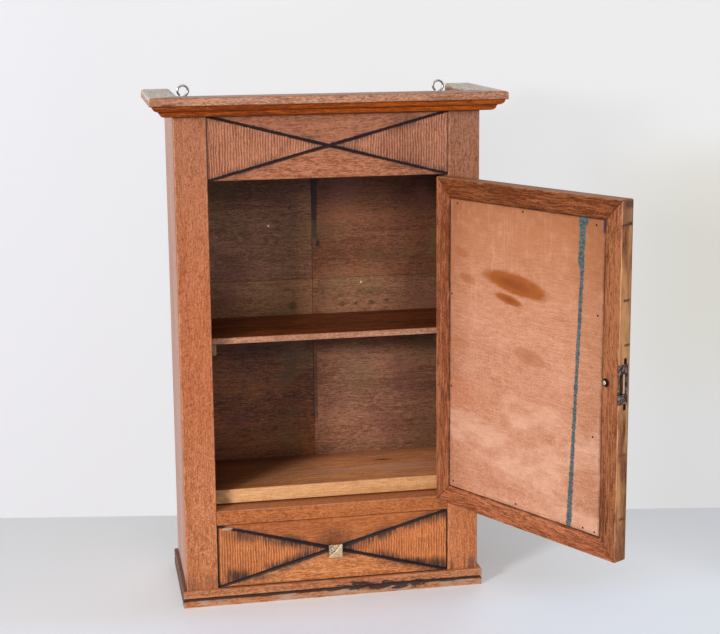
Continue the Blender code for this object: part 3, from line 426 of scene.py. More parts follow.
PALE_SPECKS, SPECK = ((-0.0560, 0.4448), (0.0636, 0.3668)), (0.95, 0.85, 0.60)
OLIVE, PLUM = (0.17, 0.115, 0.045), (0.15, 0.052, 0.042)
UPPER_RUN, RUN_THIN, RUN_FOOT = 0.0034, (0.43, 0.50), (0.422, 0.432)
INK_DROP = (0.0072, INNER_BACK, 0.4205)
LOWER_RUN, LOWER_RUN_FOOT, LOWER_RUN_TOP = 0.002, (0.175, 0.195), (0.29, 0.27)
BELOW_FADE, FLOOR_SHADE = (0.335, 0.30), (0.172, 0.142)
SHELF_SHADE, SHELF_UNDERSIDE = (0.268, 0.290), (0.328, 0.320)
KNOTS = ((-0.0265, 0.3394, 0.0045), (0.0385, 0.3392, 0.0035), (0.056, 0.3390, 0.0022),
         (0.0774, 0.3396, 0.0032), (0.0977, 0.3413, 0.0022))


def apart(first, second):
    return calc("ABSOLUTE", calc("SUBTRACT", first, second))


def distance(at, place, stretch=None):
    """How far a point is from a place, with its three axes stretched if asked."""
    gap = vector("SUBTRACT", at, place)
    gap = vector("MULTIPLY", gap, stretch) if stretch else gap
    return put("VectorMath", {0: gap}, 1, operation="LENGTH")


for row, level in enumerate(("lower", "upper")):
    for count, side in enumerate(("left", "right")):
        name, colours = f"back_board_{level}_{side}", BACK_OAK[f"{level}_{side}"]
        made, at = start(f"back_{level}_{side}_oak")
        seed = 9.0 + 2 * row + count
        inside = grained(at, colours, "x", seed, lines=0.42, figure=1.1, flecks=0.25, run=170.0)
        behind = grained(at, BARE_BACK, "x", seed + 0.5, lines=0.7, figure=0.8, flecks=0.2, pores=0.6)
        x, y, z = axes(at)
        colour = inside[0]
        if level == "lower":
            dark_part = grained(at, BELOW_SHELF[side], "x", seed + 0.25, lines=0.42, figure=1.0, flecks=0.2,
                                run=130.0)
            colour = tint(ease(z, *BELOW_FADE), colour, dark_part[0])
            for knot_x, knot_z, size in KNOTS:
                knot = distance(at, (knot_x, INNER_BACK, knot_z), (0.75, 0.2, 1.0))
                knot = scaled(cloud(at, (300.0, 300.0, 420.0), 3.0, 0.65), -size * 2.4, knot)
                colour = stain(colour, colours[2], ease(knot, size * 0.2, -size * 0.7), 0.6)
            run = times(ease(apart(x, LOWER_RUN), 0.0036, 0.0020), ease(z, *LOWER_RUN_FOOT),
                        ease(z, *LOWER_RUN_TOP))
            colour = stain(colour, INK_AND_SHADE_BLACK, run, 0.55)
            shade = times(ease(z, *SHELF_SHADE), ease(z, *SHELF_UNDERSIDE))
        else:
            ragged = scaled(cloud(at, (150.0, 60.0, 90.0), 4.0, 0.65), 0.0060, apart(x, UPPER_RUN))
            ragged = scaled(ease(z, *RUN_THIN), -0.0009, ragged)
            run = times(ease(ragged, 0.0066, 0.0052), ease(z, *RUN_FOOT))
            drop = distance(at, INK_DROP, (1.5, 1.0, 1.0))
            drop = scaled(cloud(at, (300.0, 60.0, 300.0), 3.0, 0.6), -0.0060, drop)
            run = calc("MAXIMUM", run, ease(drop, 0.0022, 0.0002))
            colour = stain(colour, INK_AND_SHADE_BLACK, run, 0.88)
            shade = ease(z, *SHADE_RISE[side])
        # Painted shade under the frieze, and on the lower boards under the shelf.
        colour = toned(colour, shade, BACK_SHADE[side])
        # Painted shade by the floor, on the left boards.
        if side == "left":
            colour = toned(colour, ease(z, *FLOOR_SHADE), SEAM_SHADE_TONE)
        # Painted shade beside the middle joint.
        colour = toned(colour, ease(x, *SEAM_SHADE_RANGE[side]), SEAM_SHADE_TONE)
        # Painted light: each side's boards brighter.
        colour = vector("MULTIPLY", colour, BACK_LIGHT_TONE[side])
        # Painted light at the left end, painted shade at the right end.
        colour = toned(colour, ease(x, *SIDEWAYS_LIGHT_AND_SHADE_RANGE[side]), SIDEWAYS_LIGHT_AND_SHADE[side])
        for speck_x, speck_z in PALE_SPECKS:
            speck = distance(at, (speck_x, INNER_BACK, speck_z))
            colour = tint(ease(speck, 0.0018, 0.0009), colour, SPECK)
        hue = cloud(at, 13.0, 2.0)
        colour = stain(colour, OLIVE, ease(hue, 0.50, 0.68), 0.35)
        colour = stain(colour, PLUM, ease(hue, 0.46, 0.32), 0.35)
        colour = tint(ease(y, *GREYED), colour, behind[0])
        dress(name, end(made, colour, inside[1], inside[2], 0.55))


# Back nails: round heads of wire nails along both edges of the back, and in rows into the compartment
# floor, the bottom and the top board. Dull iron, driven nearly level with the wood.

def sheet_mesh(points, wrap=False):
    """Four-cornered faces over a grid of points; wrap joins the last column to the first."""
    rows, columns = points.shape[:2]
    number = np.arange(rows * columns).reshape(rows, columns)
    if wrap:
        number = np.concatenate([number, number[:, :1]], 1)
    faces = np.stack([number[:-1, :-1], number[:-1, 1:], number[1:, 1:], number[1:, :-1]], -1)
    return points.reshape(-1, 3), faces.reshape(-1, 4)


def placed(name, points, faces, made):
    """An object at the origin, with its mesh and one material."""
    mesh = bpy.data.meshes.new(name)
    mesh.from_pydata(points.tolist(), [], faces.tolist())
    mesh.validate()
    mesh.materials.append(made)
    obj = bpy.data.objects.new(name, mesh)
    bpy.context.scene.collection.objects.link(obj)
    return obj


def piece(name, shells, body, made, smooth=True):
    """An object of one or more shells, each a list of points and faces, that rides on a body."""
    starts = np.cumsum([0] + [len(points) for points, _ in shells[:-1]])
    points = np.concatenate([points for points, _ in shells])
    faces = np.concatenate([faces + first for (_, faces), first in zip(shells, starts)])
    obj = placed(name, points, faces, made)
    obj.data.polygons.foreach_set("use_smooth", np.full(len(obj.data.polygons), smooth))
    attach(obj, body)
    return obj


def turned(profile, turns):
    """A profile of radius and height, down from the crown, swept round its axis."""
    angle = np.linspace(0.0, math.tau, turns, endpoint=False)
    radius, height = np.asarray(profile, float).T
    return np.stack([radius[:, None] * np.cos(angle), radius[:, None] * np.sin(angle),
                     np.broadcast_to(height[:, None], (len(radius), turns))], -1)


def set_about(shape, spots, across, up, out):
    """Copies of a small shape: its X, Y and Z along three directions, its foot on each spot."""
    local = shape.reshape(-1, 3) @ np.stack([across, up, out])
    return (np.asarray(spots)[:, None] + local).reshape(len(spots), *shape.shape)


def metal(name, colour, tarnish, rough, spots=0.5, scale=120.0, rim=None):
    """Bare metal with patches of tarnish, fine scratches and pits; rim is an upright centre line across the
    shut door and the distance from it beyond which the metal is painted black, as dirt and as the shade of
    its hole."""
    made, at = start(name, rim is not None)
    tarnished = patches(at, scale, 0.62 - 0.3 * spots, 0.80 - 0.3 * spots, 4.0, 0.6)
    slant = put("Mapping", {"Vector": at, "Rotation": (0.4, 0.7, 0.2)})
    scratch = cloud(slant, (2600.0, 160.0, 900.0), 2.0)
    shade = tint(tarnished, colour, tarnish)
    if rim:
        away = distance(at, (rim[0], 0.0, rim[1]), (1.0, 0.0, 1.0))
        shade = tint(ease(away, rim[2], rim[2] + 0.0005), shade, DIRT_AND_SHADE_BLACK)
    pits = scaled(tarnished, -0.6, times(scratch, 0.4))
    join(made.node_tree.nodes["Principled BSDF"], {
        "Base Color": shade, "Metallic": 1.0,
        "Roughness": scaled(tarnished, 0.25, scaled(scratch, 0.2, rough - 0.1)),
        "Normal": put("Bump", {"Strength": 0.4, "Distance": 0.0001, "Height": pits})})
    return made


IRON = metal("old_iron", (0.17, 0.15, 0.14), (0.055, 0.030, 0.020), 0.42)
NAIL_RADIUS, NAIL_CROWN, NAIL_TURNS, BACK_FACE, EDGE_X = 0.0020, 0.00035, 14, 0.074, 0.1700
nail_profile = [(1e-5, NAIL_CROWN), (0.6 * NAIL_RADIUS, 0.85 * NAIL_CROWN),
                (0.9 * NAIL_RADIUS, 0.45 * NAIL_CROWN), (NAIL_RADIUS, 0.0), (NAIL_RADIUS, -0.0004)]
edge_z = np.array([0.035, 0.110, 0.200, 0.290, 0.355, 0.392, 0.480, 0.585])
row_x = np.array([-0.11, -0.045, 0.05, 0.12])
row_levels = (0.130, 0.012, 0.597)
draw = np.random.default_rng(7)
nail_spots = np.concatenate([
    np.stack([np.full(8, sign * EDGE_X) + draw.uniform(-0.0012, 0.0012, 8), np.full(8, BACK_FACE),
              edge_z + draw.uniform(-0.006, 0.006, 8)], -1) for sign in (-1, 1)]
    + [np.stack([row_x + draw.uniform(-0.008, 0.008, 4), np.full(4, BACK_FACE),
                 np.full(4, level) + draw.uniform(-0.0015, 0.0015, 4)], -1) for level in row_levels])
OUT_BACK = (1.0, 0.0, 0.0), (0.0, 0.0, -1.0), (0.0, 1.0, 0.0)
nails = set_about(turned(nail_profile, NAIL_TURNS), nail_spots, *OUT_BACK)
piece("back_nails", [sheet_mesh(grid, True) for grid in nails], "case", IRON)


# Joint shade: dark strips standing in the joints between the four back boards, painted shade for the gaps.
# They lie just inside both faces and keep the light out.

GAP_FILL_FRONT, GAP_FILL_BACK, GAP_FILL_END = 0.0672, 0.0733, 0.1660
GAP_SHADE_DARK, GAP_SHADE_PALE = (0.020, 0.012, 0.009), (0.085, 0.060, 0.045)


def packed_strip(low, high, along):
    """The four corners of a bar between two points, carried along one axis and drawn in at both ends."""
    low, high = np.array(low), np.array(high)
    corners = np.tile(low, (4, 1))
    first, second = [axis for axis in range(3) if axis != along]
    corners[:, first] = np.array([low[first], high[first], high[first], low[first]])
    corners[:, second] = np.array([low[second], low[second], high[second], high[second]])
    if along == 0:
        corners = corners[::-1]
    far = corners.copy()
    far[:, along] = high[along]
    middle = (low + high) / 2
    ends = [np.where(np.arange(3) == along, place, middle + 1e-7 * (ring - middle)) for place, ring in
            ((low, corners), (high, far))]
    return np.stack([ends[0], corners, far, ends[1]])


left_low, left_high = reach("back_board_upper_left")
right_low = reach("back_board_upper_right")[0]
under_low, under_high = reach("back_board_lower_left")
made, at = start("joint_gap_shade")
gap_mottle = cloud(at, 500.0, 4.0, 0.7)
end(made, tint(ease(gap_mottle, 0.40, 0.65), GAP_SHADE_DARK, GAP_SHADE_PALE), gap_mottle, gap_mottle, 0.8)
strips = [packed_strip((left_high[0], GAP_FILL_FRONT, low[2]), (right_low[0], GAP_FILL_BACK, high[2]), 2)
          for low, high in ((left_low, left_high), (under_low, under_high))]
strips.append(packed_strip((-GAP_FILL_END, GAP_FILL_FRONT, under_high[2]), (GAP_FILL_END, GAP_FILL_BACK, left_low[2]), 0))
piece("back_joint_gap_shade", [sheet_mesh(grid, True) for grid in strips], "case", made, False)


# Top and bottom boards: oak, housed between the sides, stained like the inside of the case.
# The top lies sunk behind the cornice and collects dust.

DUSTY_TOP = ((0.30, 0.19, 0.12), (0.19, 0.11, 0.065), (0.05, 0.028, 0.018))
DUST_LEVEL = (0.598, 0.602)
for count, (node, colours) in enumerate((("top_board", DUSTY_TOP), ("bottom_board", STAINED_OAK))):
    made, at = start(f"{node}_oak")
    under = grained(at, STAINED_OAK, "x", 14.0 + count, lines=0.6)
    upper = grained(at, colours, "x", 15.5 + count, lines=0.6, figure=0.8)
    colour = tint(ease(axes(at)[2], *DUST_LEVEL), under[0], upper[0])
    dress(node, end(made, colour, upper[1], upper[2], 0.62))


# Compartment floor: a thick oak board on the kickers, brown on top from use. Painted shade darkens it
# behind and in the left stile's slanting shadow, and painted light brightens its right half.
# Its front edge was never stained and shows bare yellow oak, with one soiled end.

FLOOR_OAK = ((0.80, 0.360, 0.155), (0.46, 0.170, 0.060), (0.090, 0.027, 0.010))
BARE_OAK = ((0.87, 0.50, 0.235), (0.62, 0.30, 0.115), (0.32, 0.14, 0.053))
SOILED, WORN_FLOOR, RUBBED_FLOOR = (0.14, 0.10, 0.045), (0.42, 0.22, 0.13), (0.60, 0.34, 0.24)
FLOOR_KNOT, KNOT_AT, KNOT_SIZE = (0.040, 0.013, 0.007), (0.083, 0.0248, 0.0), (72.0, 360.0, 0.0)
RUBBED_Y, SLANT, SOILED_END = -0.008, -1.05, (-0.118, -0.136)
made, at = start("compartment_floor_oak")
top = grained(at, FLOOR_OAK, "x", 17.0, lines=0.6, figure=0.9, flecks=0.25, run=18.0)
edge = grained(at, BARE_OAK, "x", 18.0, lines=0.35, figure=0.5, flecks=0.1, pores=0.25, run=40.0)
x, y, z = axes(at)
low, high = reach("compartment_floor")
front = times(ease(y, low[1] + 0.0010, low[1] + 0.0005), ease(z, high[2], high[2] - 0.0008))
soiled = times(ease(x, *SOILED_END), patches(at, 90.0, 0.36, 0.6))
colour = stain(top[0], WORN_FLOOR, patches(at, (9.0, 30.0, 30.0), 0.45, 0.62), 0.35)
streak = times(ease(apart(y, RUBBED_Y), 0.020, 0.005), patches(at, (14.0, 90.0, 1.0), 0.36, 0.60))
colour = stain(colour, RUBBED_FLOOR, streak, 0.5)
knot = scaled(cloud(at, (120.0, 700.0, 1.0)), 0.9, distance(at, KNOT_AT, KNOT_SIZE))
colour = stain(colour, FLOOR_KNOT, ease(knot, 1.7, 0.9), 0.9)
# Painted shadow of the left stile, slanting back, in two steps; painted light on the right half; painted
# shade at the back, by the back boards.
aslant = scaled(calc("SUBTRACT", y, low[1]), SLANT, x)
for place, fade, tone in ((aslant, (-0.085, -0.165), (0.34, 0.27, 0.19)),
                          (aslant, (-0.045, -0.100), (0.78, 0.76, 0.74)),
                          (x, (-0.02, 0.03), (1.24, 1.20, 1.18)), (y, (0.030, 0.066), (0.62, 0.60, 0.58))):
    colour = toned(colour, ease(place, *fade), tone)
colour = tint(front, colour, stain(edge[0], SOILED, soiled, 0.6))
dress("compartment_floor", end(made, colour, top[1], top[2], 0.5))


# Shelf: a thin stained board on two bearers. The top is dark and a little polished by use; the
# front edge is lighter where the stain has worn off.

SHELF_OAK = ((0.26, 0.064, 0.015), (0.042, 0.008, 0.002), (0.014, 0.003, 0.001))
SHELF_EDGE = ((0.60, 0.300, 0.190), (0.33, 0.140, 0.078), (0.12, 0.048, 0.024))
SHELF_FRONT = reach("shelf")[0][1]
made, at = start("shelf_oak")
top = grained(at, SHELF_OAK, "x", 20.0, lines=0.6, figure=0.7, flecks=0.15, run=20.0)
edge = grained(at, SHELF_EDGE, "x", 21.0, lines=0.5, flecks=0.3)
colour = tint(ease(axes(at)[1], SHELF_FRONT + 0.0012, SHELF_FRONT + 0.0006), top[0], edge[0])
dress("shelf", end(made, colour, top[1], top[2], 0.45, shine=0.12))


# Bearers, kickers and guides: plain strips screwed inside the case, under the shelf, under the
# compartment floor and beside the drawer. Rough-sawn, half stained; the right shelf bearer is painted dark
# as the shade under the shelf.

SHADED_STRIP = ((0.085, 0.036, 0.020), (0.040, 0.016, 0.009), (0.012, 0.005, 0.003))
STRIP_OAK = ((0.40, 0.23, 0.115), (0.25, 0.13, 0.060), (0.08, 0.036, 0.018))


def board(name, node, colours, grain, seed, rough=0.6, share=0.2, **figure):
    """A plain board: grain, rubbed edges and little varnish."""
    made, at = start(name)
    colour, matt, height = grained(at, colours, grain, seed, flecks=0.2, **figure)
    if share:
        colour = rubbed(at, colour, BARE_EDGE, node, 0.0025, share)
    dress(node, end(made, colour, matt, height, rough))


for count, side in enumerate(("left", "right")):
    # The right bearer's dark colour is painted shade.
    strip = (STRIP_OAK, SHADED_STRIP)[count]
    board(f"shelf_bearer_{side}_oak", f"shelf_bearer_{side}", strip, "y", 22.0 + count)
    board(f"kicker_{side}_oak", f"drawer_kicker_{side}", STAINED_OAK, "y", 24.0 + count)
    board(f"guide_{side}_oak", f"drawer_guide_{side}", STRIP_OAK, "y", 26.0 + count, share=0.5)


# Cornice: three mitred lengths of moulded oak round the top. The fascia is worn to a brown pink,
# the two rounds below keep their deep amber varnish, and the tops of the short lengths are bare, painted
# paler still as light on them. Black lines of painted shade lie in the quirks and along the foot.

FASCIA_OAK = ((0.60, 0.300, 0.185), (0.33, 0.140, 0.076), (0.10, 0.038, 0.020))
AMBER_OAK = ((0.46, 0.092, 0.002), (0.17, 0.026, 0.0005), (0.05, 0.008, 0.0003))
BARE_AND_LIT_TOP = ((0.93, 0.84, 0.75), (0.60, 0.45, 0.35), (0.34, 0.21, 0.13))
FASCIA_FOOT, CORNICE_STEP, TOP_WORN = 0.6110, 0.6043, (0.6185, 0.6215)
LEFT_END, LEFT_TONE = (-0.150, -0.195), (0.76, 0.68, 0.62)
SMUDGE_AT, SMUDGE_SIZE = (-0.190, 0.0, 0.6125), (80.0, 0.0, 420.0)
for count, (side, grain) in enumerate((("front", "x"), ("left", "y"), ("right", "y"))):
    name = f"cornice_{side}"
    made, at = start(f"cornice_{side}_oak")
    fascia = grained(at, FASCIA_OAK, grain, 28.0 + count, lines=0.8, figure=0.7, flecks=0.3, pores=0.8)
    amber = grained(at, AMBER_OAK, grain, 29.5 + count, lines=0.7, figure=0.7, flecks=0.1, run=60.0)
    x, y, z = axes(at)
    colour = rubbed(at, fascia[0], BARE_EDGE, name, 0.003, 0.6)
    if side == "front":
        colour = toned(colour, ease(x, *LEFT_END), LEFT_TONE)
        smudge = scaled(cloud(at, (200.0, 200.0, 500.0)), 0.8, distance(at, SMUDGE_AT, SMUDGE_SIZE))
        colour = stain(colour, DIRT_AND_SHADE_BLACK, ease(smudge, 1.3, 0.6), 0.6)
    else:
        # Bare wood on the tops, painted paler as light on them.
        bare = grained(at, BARE_AND_LIT_TOP, grain, 32.0, lines=0.9, figure=0.8, flecks=0.1, pores=0.7)
        ragged = scaled(cloud(at, (70.0, 40.0, 70.0)), 0.006, z)
        colour = tint(ease(ragged, *TOP_WORN), colour, bare[0])
    colour = tint(ease(z, FASCIA_FOOT + 0.0003, FASCIA_FOOT - 0.0003), colour, amber[0])
    # Painted shade: black lines in the quirks between the fascia and the rounds.
    quirk_shade = calc("MINIMUM", apart(z, FASCIA_FOOT), apart(z, CORNICE_STEP))
    colour = stain(colour, DIRT_AND_SHADE_BLACK, ease(quirk_shade, 0.0013, 0.0), 0.8)
    # Painted shade: a black line along the cornice's foot.
    colour = stain(colour, DIRT_AND_SHADE_BLACK, ease(z, CORNICE_FOOT + 0.0016, CORNICE_FOOT), 0.8)
    dress(name, end(made, colour, fascia[1], fascia[2], 0.42, shine=0.14))


# Plinth: three mitred oak strips glued round the foot, with one V-cut along the middle that is
# stained black and has bled. The lower half is scuffed to bare wood; the left length is dark.

PLINTH_OAK = ((0.64, 0.260, 0.112), (0.31, 0.100, 0.034), (0.10, 0.030, 0.012))
SCUFFED, LEFT_DARK = (0.49, 0.33, 0.225), (0.060, 0.028, 0.022)
PLINTH_LINE, BLED_FROM, BLED_TO, SCUFF_FADE = 0.0098, (-0.02, 0.03), (0.15, 0.09), (0.016, 0.006)
for count, (side, grain) in enumerate((("front", "x"), ("left", "y"), ("right", "y"))):
    name = f"plinth_{side}"
    made, at = start(f"plinth_{side}_oak")
    colour, matt, height = grained(at, PLINTH_OAK, grain, 34.0 + count, lines=0.6, figure=0.8, flecks=0.3)
    x, y, z = axes(at)
    scuffs = times(patches(at, (38.0, 38.0, 90.0), 0.42, 0.62, 4.0, 0.62), ease(z, *SCUFF_FADE))
    colour = stain(colour, SCUFFED, scuffs, 0.8)
    colour = rubbed(at, colour, BARE_EDGE, name, 0.003, 0.6)
    if side == "left":
        colour = tint(0.72, colour, LEFT_DARK)
    smear = patches(at, (55.0, 55.0, 260.0), 0.40, 0.66, 4.0, 0.65)
    bled = scaled(times(ease(x, *BLED_FROM), ease(x, *BLED_TO)), -0.0058, -0.0008)
    ink = ease(scaled(smear, bled, apart(z, PLINTH_LINE)), 0.0021, 0.0013)
    colour = stain(colour, INK_AND_SHADE_BLACK, ink, 0.9)
    dress(name, end(made, colour, matt, height, 0.55))


# Screw eyes: plated steel wire, 2.8 mm thick, bent to a loop whose end stops short of the neck.
# They are screwed into the top board close to the back, and carry the cabinet on two nails.

EYE_X, EYE_Y, EYE_FOOT, EYE_NECK, EYE_MIDDLE = 0.161, 0.046, 0.5920, 0.6085, 0.6195
EYE_LOOP, EYE_WIRE, EYE_TUG = 0.0065, 0.0014, 0.005
STEEL = metal("plated_steel", (0.445, 0.437, 0.424), (0.22, 0.20, 0.172), 0.28, spots=0.25, scale=420.0)


def wire_eye(side):
    """A circle of the wire's radius carried along a plane path: a shank, a cubic bend and the loop."""
    first, last = math.radians(-66.0), math.radians(238.0)
    turn = np.linspace(first, last, 64)
    loop = np.stack([EYE_LOOP * np.cos(turn), EYE_MIDDLE + EYE_LOOP * np.sin(turn)], -1)
    shank = np.stack([np.zeros(6), np.linspace(EYE_FOOT, EYE_NECK, 6)], -1)
    t = np.linspace(0.0, 1.0, 12)[1:-1, None]
    ahead = np.array([-math.sin(first), math.cos(first)]) * EYE_TUG
    bend = ((2 * t**3 - 3 * t**2 + 1) * shank[-1] + (t**3 - 2 * t**2 + t) * (0.0, EYE_TUG)
            + (3 * t**2 - 2 * t**3) * loop[0] + (t**3 - t**2) * ahead)
    path = np.concatenate([shank, bend, loop])
    along = np.gradient(path, axis=0)
    along /= np.linalg.norm(along, axis=1, keepdims=True)
    angle = np.linspace(0.0, math.tau, 16, endpoint=False)
    radius = np.concatenate([[1e-6], np.full(len(path), EYE_WIRE), [1e-6]])
    path = np.concatenate([path[:1], path, path[-1:]])
    along = np.concatenate([along[:1], along, along[-1:]])
    sideways = np.stack([-along[:, 1], along[:, 0]], -1)
    flat = path[:, None] + radius[:, None, None] * np.cos(angle)[None, :, None] * sideways[:, None]
    deep = EYE_Y + radius[:, None] * np.sin(angle)
    return np.stack([side * EYE_X + flat[..., 0], deep, flat[..., 1]], -1)


for side, sign in (("left", -1.0), ("right", 1.0)):
    eye = piece(f"wire_eye_{side}", [sheet_mesh(wire_eye(sign), True)], "case", STEEL)
    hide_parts(f"screw_eye_{side}")


# Strike: a thin iron plate let into the left stile's inner edge, for the latch's bolt to catch in.
# Two slotted screws hold it.

for node in ("strike_plate", "strike_screw_lower", "strike_screw_upper"):
    dress(node, IRON)


# Butt hinges: pressed iron leaves let into the right stile and the door, on loose pins.
# Each leaf is held by three small slotted screws, their heads nearly level with it.

for level in ("lower", "upper"):
    for part in ("case_leaf", "door_leaf", "pin"):
        dress(f"hinge_{level}_{part}", IRON)

HEAD_RADIUS, HEAD_CROWN, HEAD_SLOT = 0.0021, 0.0003, 0.0006
CASE_LEAF, DOOR_LEAF, LEAF_FEET = 0.1445, 0.1435, (0.1745, 0.4155)
SCREW_UP, SCREW_DEEP = (0.0075, 0.025, 0.0425), (-0.0640, -0.0680, -0.0640)


def slotted_head(radius, crown, slot):
    """A low dome over a disc, drawn as strips across its slot; the strips' heights drop inside the slot."""
    half = slot / 2
    across = np.concatenate([np.linspace(-radius * 0.999, -half, 6), np.linspace(-half, half, 3),
                             np.linspace(half, radius * 0.999, 6)])
    sunk = np.concatenate([np.zeros(6), np.ones(3), np.zeros(6)])
    share = np.linspace(-1.0, 1.0, 11)
    x = np.broadcast_to(across[:, None], (15, 11))
    y = np.sqrt(radius**2 - across**2)[:, None] * share
    rise = crown * np.sqrt(np.clip(1.0 - (x**2 + y**2) / radius**2, 0.0, 1.0))
    z = np.where(sunk[:, None] > 0, np.minimum(rise, crown * 0.15), rise)
    return np.stack([x, y, z], -1)


head = slotted_head(HEAD_RADIUS, HEAD_CROWN, HEAD_SLOT)
screw_y = np.tile(SCREW_DEEP, 2)
screw_z = np.add.outer(LEAF_FEET, SCREW_UP).ravel()
case_spots, door_spots = (np.stack([np.full(6, face), screw_y, screw_z], -1)
                          for face in (CASE_LEAF, DOOR_LEAF))
case_heads = set_about(head, case_spots, (0.0, 0.8, 0.6), (0.0, 0.6, -0.8), (-1.0, 0.0, 0.0))
door_heads = set_about(head, door_spots, (0.0, 0.8, 0.6), (0.0, -0.6, 0.8), (1.0, 0.0, 0.0))
door_heads = (door_heads - HINGE_LINE) @ SHUT_ROWS + HINGE_LINE
piece("hinge_case_screws", [sheet_mesh(grid) for grid in case_heads], "case", IRON, False)
piece("hinge_door_screws", [sheet_mesh(grid) for grid in door_heads], "door", IRON, False)


# Door frame: four oak members, mitred and glued, rebated behind for the mirror and its backing.
# Brown worn varnish; the free edge has lost most of it and carries the latch's slot and some nicks.
# The top rail is painted darker and the bottom rail lighter as light falls on them; painted shade, with
# dirt, lines the opening, and painted shade blackens the slot, the mortise and the spindle's hole.

DOOR_OAK = ((0.44, 0.150, 0.064), (0.17, 0.043, 0.013), (0.055, 0.015, 0.006))
DOOR_EDGE, RAIL_END_OAK, EDGE_SOOT = (0.85, 0.41, 0.170), (0.40, 0.185, 0.10), (0.10, 0.035, 0.030)
# Each member's own tone; the top rail's is painted shade and the bottom rail's painted light.
DOOR_MEMBERS = (("top_rail", "x", (0.70, 0.65, 0.50)), ("bottom_rail", "x", (1.24, 1.22, 1.24)),
                ("lock_stile", "z", (0.88, 0.93, 0.89)), ("hinge_stile", "z", (1.03, 1.05, 1.10)))
LATCH_Y, LATCH_Z = -0.0664, 0.32
SPINDLE_X, SPINDLE_HOLE, INNER_FACE = -0.1245, 0.0054, -0.0570
RAIL_END, SOOT_RISE, TOP_ARRIS, TOP_PALE = 0.4935, (0.508, 0.514), (0.5196, 0.5202), (0.40, 0.17, 0.075)
OPENING_HALF, OPENING_LOW, OPENING_HIGH = 0.1200, 0.1430, 0.4970
LIP_DIRT_AND_SHADE, LIP_DEPTH, FRONT_ARRIS = (0.0032, 0.0002), (-0.064, -0.058), (-0.0716, -0.0732)
FREE_EDGE, MORTISE_MOUTH, LIP_SIDE = (-0.1426, -0.1431), (-0.1428, -0.1418), (-0.1195, -0.1205)
EDGE_NICKS = ((0.495, -0.067), (0.412, -0.066), (0.363, -0.069), (0.241, -0.064), (0.168, -0.067))


def beyond_opening(x, z):
    """How far a point lies outside the frame's opening; less than nothing inside it."""
    upright = calc("MAXIMUM", calc("SUBTRACT", OPENING_LOW, z), calc("SUBTRACT", z, OPENING_HIGH))
    return calc("MAXIMUM", calc("SUBTRACT", calc("ABSOLUTE", x), OPENING_HALF), upright)


def free_edge(at, colour):
    """Bare wood, the rail's end, soot, painted shade in the latch's slot, mortise and spindle hole, a dark
    arris and nicks.
    """
    x, y, z = axes(at)
    bare, outside = ease(x, *FREE_EDGE), ease(x, *LIP_SIDE)
    mottled = cloud(at, (60.0, 60.0, 14.0), 4.0, 0.6)
    colour = stain(colour, DOOR_EDGE, bare, ease(mottled, 0.36, 0.66))
    colour = stain(colour, RAIL_END_OAK, times(bare, ease(z, RAIL_END - 0.0006, RAIL_END + 0.0006)), 0.7)
    soot = times(ease(z, *SOOT_RISE), ease(mottled, 0.36, 0.5))
    marks = calc("MAXIMUM", ease(apart(z, RAIL_END), 0.0018, 0.0006), soot)
    colour = stain(colour, EDGE_SOOT, times(marks, bare), 0.75)
    slot_y, slot_z = apart(y, LATCH_Y), apart(z, LATCH_Z)
    # Painted shade: the latch's slot black.
    slot = times(ease(slot_y, 0.0027, 0.0019), ease(slot_z, 0.0300, 0.0280), outside)
    colour = stain(colour, INK_AND_SHADE_BLACK, slot, 0.95)
    # Painted shade: the mortise's mouth dark.
    mouth = times(ease(slot_y, 0.0060, 0.0050), ease(slot_z, 0.0200, 0.0180))
    mortise = times(mouth, ease(x, *MORTISE_MOUTH), outside)
    colour = stain(colour, DIRT_AND_SHADE_BLACK, mortise, 0.9)
    arris = times(ease(y, *FRONT_ARRIS), ease(mottled, 0.30, 0.55), bare)
    colour = stain(colour, DOOR_OAK[2], arris, 0.7)
    # Painted shade: a dark ring round the spindle, set off to one side.
    hole = distance(at, (SPINDLE_X - 0.0014, 0.0, LATCH_Z), (1.0, 0.0, 1.0))
    hole = times(ease(hole, SPINDLE_HOLE, SPINDLE_HOLE - 0.0008), ease(y, INNER_FACE - 0.0005, INNER_FACE))
    colour = stain(colour, DIRT_AND_SHADE_BLACK, hole, 0.92)
    for nick_z, nick_y in EDGE_NICKS:
        nick = times(ease(apart(z, nick_z), 0.0022, 0.0008), ease(apart(y, nick_y), 0.0065, 0.0035))
        colour = stain(colour, DOOR_OAK[2], times(nick, ease(mottled, 0.36, 0.52), outside), 0.75)
    return colour


for count, (part, grain, tone) in enumerate(DOOR_MEMBERS):
    name = f"door_{part}"
    made, at = start(f"door_{part}_oak", shut=True)
    colour, matt, height = grained(at, DOOR_OAK, grain, 40.0 + count, lines=0.64, figure=1.5, flecks=0.45,
                                   pores=0.8, run=36.0, mottle=1.6)
    colour = vector("MULTIPLY", colour, tone)
    x, y, z = axes(at)
    # Painted shade, with dirt, along the lip round the opening.
    dirt_and_shade = times(ease(beyond_opening(x, z), *LIP_DIRT_AND_SHADE), ease(y, *LIP_DEPTH), patches(at, 70.0, 0.30, 0.60))
    colour = stain(colour, DIRT_AND_SHADE_BLACK, dirt_and_shade, 0.95 if part == "lock_stile" else 0.75)
    if part == "lock_stile":
        colour = free_edge(at, colour)
    colour = rubbed(at, colour, BARE_EDGE, name, 0.003, 0.5, shut=True)
    if part == "top_rail":
        colour = stain(colour, TOP_PALE, ease(z, *TOP_ARRIS), 0.8)
    dress(name, end(made, colour, matt, height, 0.50, shine=0.12))


# Mirror: a plain silvered glass in the door's front, held in the rebate by the backing behind it.
# The silvering is a little hazy, and foxed along its edges.

